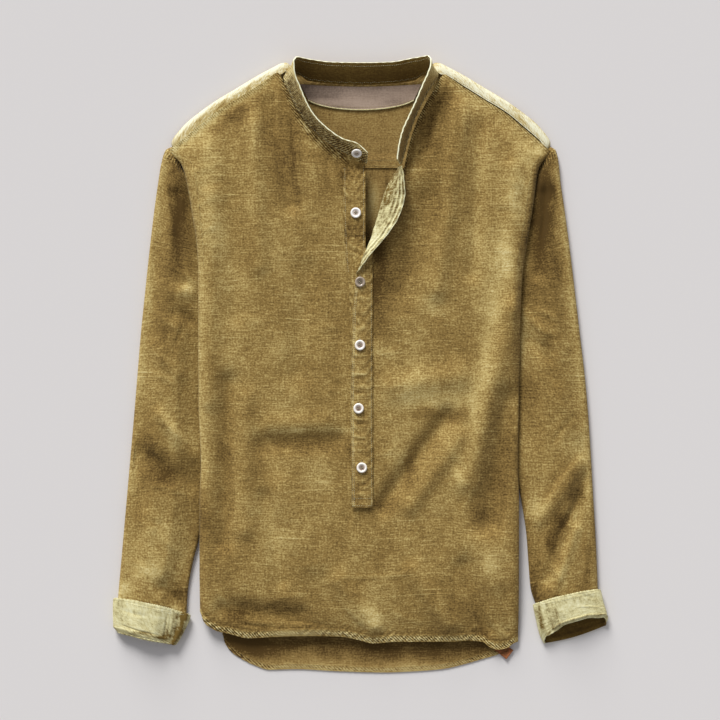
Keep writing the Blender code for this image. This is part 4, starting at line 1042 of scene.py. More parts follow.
@dataclass(frozen=True)
class PearlFinish:
    """A button of pale pearl, darker in its dished middle."""

    name: str
    rim: Colour
    dish: Colour

    def build(self) -> bpy.types.Material:
        """Make the material, with soft clouds and a fine grain."""
        made, nodes, shader = new_finish(self.name)
        clouds = nodes.noise(nodes.place(), (220.0, 340.0, 220.0), 3.0)
        share = nodes.spread(clouds, 0.3, 0.7)
        light = nodes.blend(share, srgb(*self.rim), toned(self.rim, 1.08))
        dark = nodes.blend(share, srgb(*self.dish), toned(self.dish, 0.82))
        nodes.feed(shader, {"Base Color": nodes.blend(nodes.carried("dish"), light, dark),
                            "Normal": nodes.bump(clouds, 0.04),
                            "Roughness": nodes.spread(clouds, 0.3, 0.7, 0.22, 0.4),
                            "Coat Weight": 0.25, "Coat Roughness": 0.15})
        return made


@dataclass(frozen=True)
class Groups:
    """The shader groups that several finishes share."""

    weave: bpy.types.NodeTree
    crumple: bpy.types.NodeTree
    colour: bpy.types.NodeTree
    roped: bpy.types.NodeTree


class Wardrobe:
    """Every finish of the shirt, each built once."""

    def __init__(self) -> None:
        """Build the shared groups and the finishes."""
        groups = Groups(slub_weave_group(), crumple_group(), painted_tone_colour_group(), roped_seam_group())
        self.linen = ClothFinish("olive slub linen", (
            (78, 57, 18), (145, 118, 63), (190, 168, 106), (226, 212, 156))).build(groups)
        # painted highlight: the linen again with paler light shades, for the tops of the shoulder rolls
        # where the light falls
        self.shoulder = ClothFinish("shoulder linen with painted highlight", (
            (78, 57, 18), (145, 118, 63), (194, 175, 118), (236, 234, 206))).build(groups)
        self.inside = ClothFinish("linen inside", (
            (84, 62, 24), (146, 119, 66), (174, 150, 92), (196, 178, 122)), contrast=0.9).build(groups)
        self.dark_inside = ClothFinish("shaded band lining", (
            (64, 46, 12), (98, 74, 26), (126, 102, 46), (154, 130, 72)), contrast=0.7).build(groups)
        self.pale = ClothFinish("pale linen reverse", (
            (108, 86, 36), (208, 200, 150), (228, 224, 182), (244, 244, 214)), contrast=0.8).build(groups)
        self.rim = ClothFinish("worn linen edge", (
            (140, 120, 66), (190, 174, 118), (214, 204, 152), (228, 224, 180)), contrast=0.8).build(groups)
        self.facing = ClothFinish("mauve grey facing", (
            (116, 100, 88), (166, 146, 130), (180, 160, 144), (204, 188, 172)), contrast=0.5,
            thread_relief=0.1, crumple_relief=0.3, sheen=0.05).build(groups)
        self.rust = ClothFinish("rust tab", (
            (70, 44, 20), (112, 72, 40), (176, 104, 64), (196, 134, 92)), contrast=0.6).build(groups)
        self.thread = ThreadFinish("olive sewing thread", (176, 156, 96)).build()
        self.pale_thread = ThreadFinish("cream sewing thread", (218, 210, 166)).build()
        self.pearl = PearlFinish("pearl button", (252, 247, 240), (218, 202, 192)).build()
        self.darker_pearl = PearlFinish("pearl button with darker middle", (248, 238, 230), (176, 154, 140)).build()
        # painted shade: a darker pearl for the third button, in the shadow of the turned placket
        self.shaded_pearl = PearlFinish("pearl button with painted shade", (158, 144, 128), (128, 114, 98)).build()


# ---- stitches -----------------------------------------------------------------------------
class StitchRow:
    """Rows of machine stitches along paths, made by one modifier tree."""

    INPUTS = (("Geometry", "Geometry"), ("Spacing", "Float"), ("Stitch Length", "Float"),
              ("Thread Radius", "Float"), ("Seed", "Int"), ("Finish", "Material"))

    def __init__(self) -> None:
        """Build the tree."""
        self.tree = bpy.data.node_groups.new("stitch row", "GeometryNodeTree")
        add_socket = self.tree.interface.new_socket
        self.sockets = {}
        for title, kind in self.INPUTS:
            socket = add_socket(title, in_out="INPUT", socket_type="NodeSocket" + kind)
            self.sockets[title] = socket.identifier
        add_socket("Geometry", in_out="OUTPUT", socket_type="NodeSocketGeometry")
        nodes = Nodes(self.tree)
        given = nodes.add("NodeGroupInput").outputs
        radius, seed = given["Thread Radius"], given["Seed"]
        curve = nodes.add("GeometryNodeMeshToCurve", {0: given["Geometry"]}).outputs[0]
        points = nodes.add("GeometryNodeCurveToPoints", {"Curve": curve, "Length": given["Spacing"]},
                           mode="LENGTH").outputs
        turn = nodes.add("FunctionNodeAlignRotationToVector", {"Vector": points["Tangent"]},
                         axis="X").outputs[0]
        lean = nodes.add("FunctionNodeRandomValue",
                         {0: (0.0, 0.0, -0.12), 1: (0.0, 0.0, 0.12), "Seed": seed},
                         data_type="FLOAT_VECTOR").outputs[0]
        turned = nodes.add("FunctionNodeRotateRotation", {"Rotation": turn, "Rotate By": lean},
                           rotation_space="LOCAL").outputs[0]
        ball = nodes.add("GeometryNodeMeshUVSphere", {"Segments": 6, "Rings": 4, "Radius": 1.0}).outputs[0]
        size = nodes.add("ShaderNodeCombineXYZ",
                         {0: given["Stitch Length"], 1: radius, 2: radius}).outputs[0]
        uneven = nodes.add("FunctionNodeRandomValue", {2: 0.85, 3: 1.12, "Seed": seed}).outputs[1]
        scale = nodes.add("ShaderNodeVectorMath", {0: size, "Scale": uneven}, operation="SCALE").outputs[0]
        placed = nodes.add("GeometryNodeInstanceOnPoints", {"Points": points["Points"], "Instance": ball,
                                                            "Rotation": turned, "Scale": scale}).outputs[0]
        real = nodes.add("GeometryNodeRealizeInstances", {0: placed}).outputs[0]
        finished = nodes.add("GeometryNodeSetMaterial", {0: real, "Material": given["Finish"]}).outputs[0]
        nodes.add("NodeGroupOutput", {0: finished})

    def sew(self, name: str, paths: Sequence[Array], finish: bpy.types.Material, spacing: float = 2.6,
            length: float = 1.05, radius: float = 0.24) -> bpy.types.Object:
        """Sew along paths.

        Args:
            name: The piece's name.
            paths: Rows of points in metres; those too short for a stitch are left out.
            finish: The thread's material.
            spacing: From stitch to stitch, in millimetres.
            length: Half of a stitch's length, in millimetres.
            radius: The thread's radius, in millimetres.

        Returns:
            The stitches as a plain mesh.
        """
        points, edges = [], []
        for path in (path for path in paths if len(path) > 2):
            start = len(points)
            points += [tuple(point) for point in path]
            edges += [(start + spot, start + spot + 1) for spot in range(len(path) - 1)]
        mesh = bpy.data.meshes.new(name)
        mesh.from_pydata(points, edges, [])
        made = link(name, mesh)
        rows = made.modifiers.new("stitches", "NODES")
        rows.node_group = self.tree
        for title, value in (("Spacing", spacing * MM), ("Stitch Length", length * MM),
                             ("Thread Radius", radius * MM), ("Seed", STITCH_SEED), ("Finish", finish)):
            rows[self.sockets[title]] = value
        plain(made)
        made.data.shade_smooth()
        return ride(made, Slot.LINEN)


# ---- the body -----------------------------------------------------------------------------
def held_by_placket(x: Any, y: Any) -> Any:
    """Give how far the placket holds the front flat."""
    return np.exp(-((x - FOOT_X) / PLACKET_HOLD) ** 4) * ease((y + 200) / 30)


def small_relief(x: Any, y: Any) -> Any:
    """Give the front's creases and crinkles, flatter where the placket holds them."""
    held = held_by_placket(x, y)
    return (creased(FRONT_CREASES, x, y) + crinkle(x, y, 5)) * mix(1.0, 0.45, held)


def front_height(x: Any, y: Any, top_y: Any) -> Any:
    """Give the height of the front's middle surface, away from its rolled sides."""
    folds = folded(FRONT_FOLDS, x, y) * mix(1.0, PLACKET_KEEP, held_by_placket(x, y))
    flat = read(BODY_RISE, y, "height") + folds
    near_edge = bell(top_y - y, EDGE_REACH)
    return mix(flat, EDGE_RISE, near_edge) + small_relief(x, y) * ease((top_y - y) / 9)


def ground(x: Any, y: Any) -> Any:
    """Give the front's height under the placket, carried smoothly across the slit."""
    return front_height(x, y, np.where(np.asarray(x) < FOOT_X, LEFT_TOP[-1].y, RIGHT_TOP[0].y))


def drifted(across: Array, along: Array, seed: int) -> Array:
    """Give the cloth's own places, a little off the straight so that no thread runs true."""
    return pair(across + 2.5 * rumple(across, along, 60, 45, seed),
                along + 3.5 * rumple(across, along, 70, 60, seed + 2))


@dataclass
class Front:
    """The front: one piece, whose halves part above the placket's foot."""

    columns: int = 88
    roll_columns: int = 14
    hem_rows: int = 26
    low_rows: int = 46
    high_rows: int = 122
    hem_share: float = 0.13           # of the way from the hem to the placket's foot
    hem: Pucker = Pucker(8.5, 0.55, 7.5, 0.75, -0.9, 9.0, 11)
    left_armhole: Pucker = Pucker(12.0, 0.3, 9.0, 0.8, 0.7, 10.0, 13)
    right_armhole: Pucker = Pucker(8.0, 0.2, 6.0, 0.7, 0.5, 8.0, 15)
    shoulder: Pucker = Pucker(4.0, 0.1, 10.0, 0.7, 0.4, 16.0, 17)

    def climbs(self) -> Array:
        """Give the rows, from the hem (0) through the placket's foot (1) to the upper edge (2)."""
        hem = np.linspace(0, self.hem_share, self.hem_rows, endpoint=False)
        low = np.linspace(self.hem_share, 1, self.low_rows, endpoint=False)
        return np.concatenate((hem, low, np.linspace(1, 2, self.high_rows)))

    def tone(self, side: int, x: Any, y: Any, relief: Any, inwards: Any, below_top: Any,
             above_hem: Any) -> Array:
        """Give the tone: painted light and shade from the patches and the relief, painted highlights along
        the rolled sides, the shoulders and the hem's ridge, painted shade by the right side and above the
        hem band, and some uneven tone.
        """
        # painted light and shade: the patches, and the relief, lighter on ridges and darker in troughs
        tone = 1.15 * painted_patches(FRONT_PATCHES, x, y, 31) + np.clip(relief, -2.0, 2.0) / 4
        tone += 0.10 * rumple(x, y, 30, 42, 41)
        if side < 0:
            # painted highlights on the left: along the rolled side, along the shoulder, over its tip and
            # down the outer chest
            tone += 0.42 * np.exp(-(inwards / 11) ** 2) * ease((150 - y) / 30) * ease((y + 170) / 60)
            tone += 0.75 * np.exp(-(below_top / 9) ** 2) * ease((-96 - x) / 20)
            tone += 0.5 * np.exp(-(below_top / 28) ** 2) * ease((-170 - x) / 30)
            tone += 0.35 * bell(x + 186, 12) * ease((y - 120) / 40)
        else:
            # on the right: a painted highlight over the outer chest, painted shade along the side by the
            # armhole, and a lighter upper edge
            tone += 0.30 * bell(inwards - 30, 13) * bell(y - 160, 110)
            tone -= 0.75 * np.exp(-(inwards / 7) ** 2) * ease((y - 120) / 30)
            tone += 0.25 * np.exp(-(below_top / 20) ** 2)
        near_neck = bell(below_top - 4, 8) * (1 - ease((np.abs(x) - 94) / 12))
        tone += (0.8 * rumple(x, y, 4.5, 4.5, 45) - 0.15) * near_neck
        # painted highlight on the hem's raised band, and painted shade just above it
        hem_light = 0.45 + 0.35 * rumple(x, y, 7, 9, 43)
        tone = tone + hem_light * bell(above_hem - 3.5, 3.2) - 0.3 * bell(above_hem - 11, 3)
        return np.clip(tone, -1.5, 1.6)

    def half(self, side: int) -> Grid:
        """Make the grid of one side, its rolled edge with it.

        Args:
            side: -1 for the viewer's left and 1 for the right.

        Returns:
            The grid, wound so that its face looks up.
        """
        tops, hand = (LEFT_TOP, "left") if side < 0 else (RIGHT_TOP, "right")
        plain_shares = np.linspace(0, 1, self.columns)
        shares = mix(plain_shares ** 1.5, plain_shares, ease(plain_shares * 1.4))
        share, climb = np.meshgrid(shares, self.climbs())
        top_share = share if side < 0 else 1 - share
        top_x = read(tops, top_share, "x")
        lap = (1.2 if side < 0 else -SEAM) + 2.6 * bell(np.abs(top_x) - 101, 7)
        top_y = read(tops, top_share, "y") + lap
        hem_x = mix(float(read(SIDES, -330, hand)), FOOT_X, share)
        hem_y = read(FRONT_HEM, hem_x, "y")
        y = np.where(climb <= 1, mix(hem_y, FOOT_Y, climb), mix(FOOT_Y, top_y, climb - 1))
        edge = read(SIDES, y, hand)
        top_edge = read(SIDES, top_y, hand)
        top_part = (top_x - top_edge) / (read(SLIT, top_y, hand) - top_edge)
        part = np.where(climb > 1, mix(share, top_part, ease(climb - 1)), share)
        x = mix(edge, read(SLIT, y, hand), part)
        inwards = np.abs(x - edge)
        armhole = self.left_armhole if side < 0 else self.right_armhole
        seams = armhole.relief(y, inwards) * ease((y - 118) / 25)
        seams += self.hem.relief(x, y - hem_y) * ease((inwards - 1) / 8)
        seams += self.shoulder.relief(x, top_y - y) * ease((top_y - y) / 3) * ease((y - 225) / 20)
        height = front_height(x, y, top_y)
        if side < 0:
            height = height + 0.9 * ease((y - top_y + 5) / 4) * ease((-90 - x) / 10)
        side_rise = read(SIDES, y, "rise")
        bend = np.sqrt(np.clip(1 - (1 - np.clip(inwards / ROLL_RADIUS, 0, 1)) ** 2, 0, 1))
        rolled = mix(side_rise, np.maximum(height, side_rise), bend)
        height = np.where(inwards < ROLL_RADIUS, rolled, height) + seams * mix(0.5, 1.0, bend)
        relief = creased(FRONT_CREASES, x, y) + crinkle(x, y, 5) + 1.3 * seams
        tone = self.tone(side, x, y, relief, inwards, top_y - y, y - hem_y)
        rope = self.rope(x, inwards, top_y - y, y - hem_y)
        under = self.rolled_under(side, x[:, :1], y[:, :1], height[:, :1])
        points = np.concatenate((under, np.stack((x, y, height), -1)), 1)
        count = under.shape[1]
        # the rolled-under columns are darker: painted shade under the roll
        tone = np.concatenate((np.repeat(tone[:, :1], count, 1) - 0.25, tone), 1)
        rope = np.concatenate((np.repeat(rope[:, :1], count, 1), rope), 1)
        away = np.hypot(np.diff(points[..., 0], axis=1), np.diff(points[..., 2], axis=1))[:, :count]
        gone = np.cumsum(away[:, ::-1], 1)[:, ::-1]
        across = np.concatenate((x[:, :1] + side * gone, x), 1)
        along = points[..., 1]
        grid = Grid(points, drifted(across, along, 51), tone, rope)
        return grid if side < 0 else grid.turned()

    def rope(self, x: Any, inwards: Any, below_top: Any, above_hem: Any) -> Array:
        """Give how far the cloth is drawn into ribs: along the hem, the neck and the armholes."""
        neck = 0.75 * bell(below_top - 4, 8) * (1 - ease((np.abs(x) - 92) / 12))
        shoulder = 0.35 * bell(below_top - 2, 5) * ease((np.abs(x) - 92) / 12)
        return bell(above_hem - 3.5, 3.4) * ease(inwards / 8) + neck + shoulder

    def rolled_under(self, side: int, x: Array, y: Array, rise: Array) -> Array:
        """Give the columns that turn under, from where they rest to the edge."""
        rest = mix(FLOOR + LIFT, FLOOR + 2 * LIFT, ease((y - 212) / 18))
        table = np.array(ROLL_UNDER)
        spots = np.linspace(0, len(table) - 1, self.roll_columns)
        inwards = np.interp(spots, range(len(table)), table[:, 0])
        share = np.interp(spots, range(len(table)), table[:, 1])
        return np.stack(np.broadcast_arrays(x - side * inwards, y, mix(rest, rise, share)), -1)

    def build(self, wardrobe: Wardrobe) -> bpy.types.Object:
        """Make the front and hide the part it replaces."""
        made = shell("cloth_front", [self.half(-1), self.half(1)],
                     (wardrobe.linen, wardrobe.inside, wardrobe.rim), joined=True)
        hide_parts("front_panel")
        return made


@dataclass
class Back:
    """The back, flat from its curved tail to the yoke's seam."""

    columns: int = 150
    rows: int = 60
    hem: Pucker = Pucker(7.0, 0.45, 6.5, 0.6, -0.8, 7.0, 21)

    def build(self, wardrobe: Wardrobe) -> bpy.types.Object:
        """Make the back and hide the part it replaces."""
        share = 0.5 - 0.5 * np.cos(math.pi * np.linspace(0, 1, self.columns))
        share, climb = np.meshgrid(share, np.linspace(0, 1, self.rows) ** 2.1)
        tail_x = mix(TAIL_HEM[0].x, TAIL_HEM[-1].x, share)
        tail_y = read(TAIL_HEM, tail_x, "y")
        y = mix(tail_y, BACK_TOP_Y, climb)
        left, right = read(SIDES, y, "left") + BACK_MARGIN, read(SIDES, y, "right") - BACK_MARGIN
        x = mix(tail_x, mix(left, right, share), ease(climb * 9))
        inward = y - tail_y
        seam = self.hem.relief(x, inward)
        swell = 0.35 * crinkle(x, y, 61)
        height = FLOOR + np.maximum(0.1 * swell + 0.3 + np.where(inward < 40, 0.45 * seam, 0.0), 0.0)
        # painted light and shade that follow the crinkles and the hem's puckers, painted shade over all of
        # the back above its hem band, a lighter hem band on all but its left end, uneven tone inside the
        # neck, and the patches
        tone = (0.45 * crinkle(x, y, 61) + 0.7 * seam * bell(inward, 14) - 0.75 * ease((inward - 8) / 12)
                + 0.7 * bell(inward - 2.5, 3) * ease((x + 130) / 30)
                + 0.6 * rumple(x, y, 5, 8, 69) * ease((y - 120) / 40) + painted_patches(BACK_PATCHES, x, y, 67))
        tone = np.clip(tone, -1.5, 1.3)
        grid = Grid(np.stack((x, y, height), -1), drifted(x, y, 63), tone, 0.9 * bell(inward - 2.8, 2.8))
        made = shell("cloth_back", [grid], (wardrobe.inside, wardrobe.linen, wardrobe.rim))
        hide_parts("back_panel")
        return made


@dataclass
class ShoulderYoke:
    """The back yoke, inside the neck and over both shoulders to the forward seams."""

    columns: int = 230
    roll_rows: int = 26
    flat_rows: int = 30
    strip: Pucker = Pucker(6.0, 0.15, 7.0, 0.5, 0.5, 6.0, 71)

    def column(self, size: float) -> Array:
        """Give the heights and places of a column, from its inside edge over the shoulder."""
        reach = abs(size)
        fold_y, end_y, end_z = (float(read(YOKE, reach, name)) for name in ("fold_y", "end_y", "end_z"))
        rolled = float(ease((reach - ROLL_STARTS[0]) / (ROLL_STARTS[1] - ROLL_STARTS[0])))
        low, step = YOKE_STEP_Y
        bend_y = max(min(fold_y, end_y) - mix(4.0, 6.0, rolled), step + 2.0)
        straight = (end_y - bend_y) / 3
        bulge = (fold_y - (bend_y + end_y) / 2) / 0.75
        handle = mix(straight, bulge, rolled)
        turn = math.pi * rolled
        overs = np.array((bend_y, bend_y + handle, end_y - handle * math.cos(turn), end_y))
        ups = np.array((FLOOR, FLOOR, max(FLOOR, end_z - handle * math.sin(turn)), end_z))
        flat_y = np.linspace(YOKE_EDGE_Y, bend_y, self.flat_rows, endpoint=False)
        flat_z = mix(FLOOR + LIFT, FLOOR + 0.06, ease((flat_y - low) / (step - low)))
        t = np.linspace(0, 1, self.roll_rows)[:, None]
        weights = np.concatenate(((1 - t) ** 3, 3 * t * (1 - t) ** 2, 3 * t * t * (1 - t), t ** 3), 1)
        y = np.concatenate((flat_y, weights @ overs))
        z = np.concatenate((flat_z, np.maximum(weights @ ups, FLOOR + 0.1)))
        narrow = YOKE_LOW_HALF / YOKE[-2].x
        x = size * mix(narrow, 1.0, ease((y - YOKE_EDGE_Y) / 34))
        return np.stack((x, y, z), -1)

    def build(self, wardrobe: Wardrobe) -> bpy.types.Object:
        """Make the yoke and hide the part it replaces."""
        full = YOKE[-1].x
        bend = np.linspace(-1, 1, self.columns)
        sizes = full * np.sign(bend) * np.abs(bend) ** 0.9
        points = np.stack([self.column(float(size)) for size in sizes])
        x, y, z = np.moveaxis(points, -1, 0)
        gone = gone_along(points, 1)
        seam = self.strip.relief(x, gone)
        inside = 1 - ease((gone - 60) / 20)
        z = z + np.maximum(0.35 * crinkle(x, y, 73), 0) * inside + 0.4 * np.maximum(seam, 0) * bell(gone, 14)
        over = np.clip((z - 4) / 6, 0, 1)
        z = z + 0.25 * over * rumple(x, y, 7, 7, 75)
        # painted highlight along the tops of the shoulder rolls: palest at the fold on the left, and on the
        # right pale all over but for a darker line at the seam
        past = read(YOKE, np.abs(sizes), "fold_y")[:, None] - y
        left_highlight = 1.5 * bell(past, 5.0) + 0.65 + 0.4 * ease((-196 - x) / 24)
        strip = over * mix(left_highlight, 1.55 - 0.5 * bell(past - 11.5, 3.0), ease((x + 40) / 80))
        strip += 0.45 * over * rumple(x, gone, 6, 3, 79)
        # painted light and shade that follow the crinkles and the seam's puckers, then painted shade at the
        # yoke's step, and darker inside the neck towards the left
        tone = 0.35 * crinkle(x, y, 73) + 0.5 * seam * bell(gone, 14) + strip
        tone = tone - 0.25 * bell(gone - 15, 3) - 0.35 * ease((-24 - x) / 20) * inside
        cloth = pair(x, gone + 2 * rumple(x, gone, 50, 40, 77))
        # the face takes the linen with painted highlight
        made = shell("cloth_yoke", [Grid(np.stack((x, y, z), -1), cloth, np.clip(tone, -1, 1.7))],
                     (wardrobe.shoulder, wardrobe.inside, wardrobe.rim))
        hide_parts("back_yoke")
        return made


# ---- the neck -----------------------------------------------------------------------------
@dataclass
class CollarBand:
    """The standing band, open at the front."""

    columns: int = 300
    rows: int = 18
    wall: float = 1.5
    seam: Pucker = Pucker(5.0, 0.45, 9.0, 0.9, 1.5, 9.0, 81)

    def section(self, share: Any, part: Any) -> Array:
        """Give points between the seam (0) and the upper edge (1)."""
        base = np.stack([read(COLLAR, share, name) for name in ("base_x", "base_y", "base_z")], -1)
        rise = base[..., 2] + read(COLLAR, share, "rise")
        top = np.stack((read(COLLAR, share, "top_x"), read(COLLAR, share, "top_y"), rise), -1)
        points = mix(base, top, part[..., None])
        points[..., 2] += 1.6 * np.sin(math.pi * part)
        return points

    def grid(self) -> Grid:
        """Make the band's grid with its puckers."""
        part, share = np.meshgrid(np.linspace(0, 1, self.rows), np.linspace(0, 1, self.columns))
        points = self.section(share, part)
        along = np.broadcast_to(gone_along(points, 0)[:, :1], part.shape)
        tall = np.linalg.norm(points[:, -1] - points[:, 0], axis=1)[:, None]
        up = part * tall
        seam = self.seam.relief(along, up) + 0.25 * rumple(along, up, 9, 12, 83)
        edge = self.seam.relief(along + 40, (1 - part) * tall)
        points = points - outwards(points) * (0.75 * seam + 0.35 * edge)[..., None]
        # painted light and shade that follow the puckers; painted shade on the band's lower part at both
        # sides and, fainter, all along its left; painted highlights where the band turns at its two corners;
        # a paler upper rim and light tufts on the left
        tone = 0.55 * seam + 0.35 * edge + 0.12 * rumple(along, up, 18, 30, 85)
        tone = tone - 0.55 * bell(share - 0.19, 0.11) * (1 - part)
        tone = tone - 0.5 * bell(share - 0.86, 0.06) * (1 - part)
        tone = tone + 1.0 * bell(share - 0.72, 0.035) + 0.5 * bell(share - 0.38, 0.03)
        tone = tone + 1.2 * ease((part - 0.93) / 0.06)
        tone = tone - 0.25 * (1 - ease((share - 0.30) / 0.06)) * (1 - part)
        tufts = rumple(along, up, 2.6, 7, 87) * (1 - ease((part - 0.8) / 0.1))
        tone = tone + (0.75 * tufts + 0.25) * (1 - ease((share - 0.36) / 0.04))
        rope = (0.9 * (1 - ease((part - 0.72) / 0.2)) * (1 - ease((share - 0.36) / 0.04))
                + 0.6 * bell(up - 3, 5) * ease((share - 0.74) / 0.04))
        return Grid(points, pair(along, up), np.clip(tone, -1.2, 1.6), rope * np.ones_like(tone))

    def build(self, wardrobe: Wardrobe) -> bpy.types.Object:
        """Make the band and hide the part it replaces."""
        made = shell("cloth_collar", [self.grid()], (wardrobe.linen, wardrobe.dark_inside, wardrobe.pale),
                     wall=self.wall)
        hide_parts("collar_band")
        return made


@dataclass
class NeckFacing:
    """The crescent of smooth cloth inside the back neck, with a cream edge."""

    flare: float = 0.15               # how much wider it is at its seam
    columns: int = 120
    rows: int = 24
    wall: float = 0.8

    def points(self, x: Array, part: Array) -> Array:
        """Give points from the lower edge (0) to the seam (1)."""
        bow = np.sqrt(np.clip(1 - (x / (FACING_HALF + 5)) ** 2, 0, 1))
        low = mix(327.0, FACING_LOW_Y, bow)
        high = 336.6 + 3.2 * (x / FACING_HALF) ** 2
        y = mix(low, high, part)
        swell = 0.35 * rumple(x, y, 24, 9, 91) + 0.2 * bell(part, 0.12)
        return np.stack((x * (1 + self.flare * part), y, FLOOR + LIFT + np.maximum(swell, -0.1)), -1)

    def build(self, wardrobe: Wardrobe) -> bpy.types.Object:
        """Make the facing and hide the part it replaces."""
        x, part = np.meshgrid(np.linspace(-FACING_HALF, FACING_HALF, self.columns),
                              np.linspace(0, 1, self.rows))
        points = self.points(x, part)
        tone = 0.5 * rumple(x, points[..., 1], 30, 8, 93) - 0.45 * ease((-6 - x) / 30)
        grid = Grid(points, points[..., :2].copy(), tone - 0.3 * ease((part - 0.8) / 0.2))
        made = shell("cloth_facing", [grid], (wardrobe.facing, wardrobe.facing, wardrobe.pale), Slot.FACING,
                     self.wall)
        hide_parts("neck_facing")
        return made

    def piping(self, wardrobe: Wardrobe) -> bpy.types.Object:
        """Make the cream cord that finishes the facing's lower edge."""
        x = np.linspace(-FACING_HALF, FACING_HALF, 160)
        centre = self.points(x, np.zeros_like(x))
        centre[:, 2] += 0.35
        turn = np.linspace(0, 2 * math.pi, 13)[:-1]
        along = np.gradient(centre, axis=0)
        along /= np.linalg.norm(along, axis=1)[:, None]
        out = np.cross(along, (0, 0, 1.0))
        radius = 0.75 + 0.1 * rumple(x, 0 * x, 3, 1, 95)
        rim = np.cos(turn)[None, :, None] * out[:, None]
        rim = rim + np.sin(turn)[None, :, None] * np.array((0, 0, 1.0))
        ring = centre[:, None] + radius[:, None, None] * rim
        closed = np.concatenate((ring, ring[:, :1]), 1)
        cloth = pair(x[:, None], np.linspace(0, 5, 13)[None])
        mesh = grid_mesh("facing_piping", [Grid(closed[:, ::-1], cloth, np.zeros(closed.shape[:2]))], True)
        mesh.materials.append(wardrobe.pale)
        made = link("facing_piping", mesh)
        made.data.shade_smooth()
        return ride(made, Slot.FACING)


PLACKET_CREASES = table(Crease, (
    (-11, 12, 9, 10, 1.7, 0.9, 1), (-10, 7.5, 8, 6, 1.4, -0.8, -1), (-10, -10.5, 10, -12, 1.7, 1, 1),
    (-11, -15.5, 8, -15, 1.5, -0.9, 1), (-9, -27, 9, -28.5, 1.8, 1, -1), (-10, -33, 9, -33, 1.5, -1, 1),
    (-12, -64, 9, -66, 2, 1.1, 1), (-10, -70.5, 8, -72, 1.4, -0.8, 0), (-10, -86, 8, -88, 1.6, 0.9, 1),
    (-11, -92, 7, -91, 1.5, -0.9, -1), (-9, -103, 9, -104, 1.8, 0.8, 0), (-10, -138, 9, -139.5, 1.7, 0.8, 1),
    (-8, -148, 10, -146, 1.5, -0.8, -1), (-9, -156, 10, -157, 2.2, 1, 0), (-10, 42, 8, 45, 1.9, 0.8, 1),
    (-9, 60, 9, 58, 1.8, -0.7, 1), (-10, 78, 8, 80, 1.7, 0.8, -1), (-21, 213, -7, 199, 1.8, 1.1, 3),
    (-19, 205, -8, 194, 1.5, -1, 3), (-8, 210, -2, 196, 1.6, 0.8, -1), (-18, 160, 3, 158, 1.9, 1.1, 1),
    (-17, 154.5, 2, 154, 1.6, -1.1, 0), (-15, 147, 2, 137, 1.9, 1.3, 1), (-15, 142, 1, 131, 1.5, -1.3, 1),
    (-13, 135, 2, 127, 1.9, 1.2, -1), (-18, 226, 3, 228, 1.9, -0.8, 2), (-19, 174, -4, 170, 1.8, 0.8, 2),
))


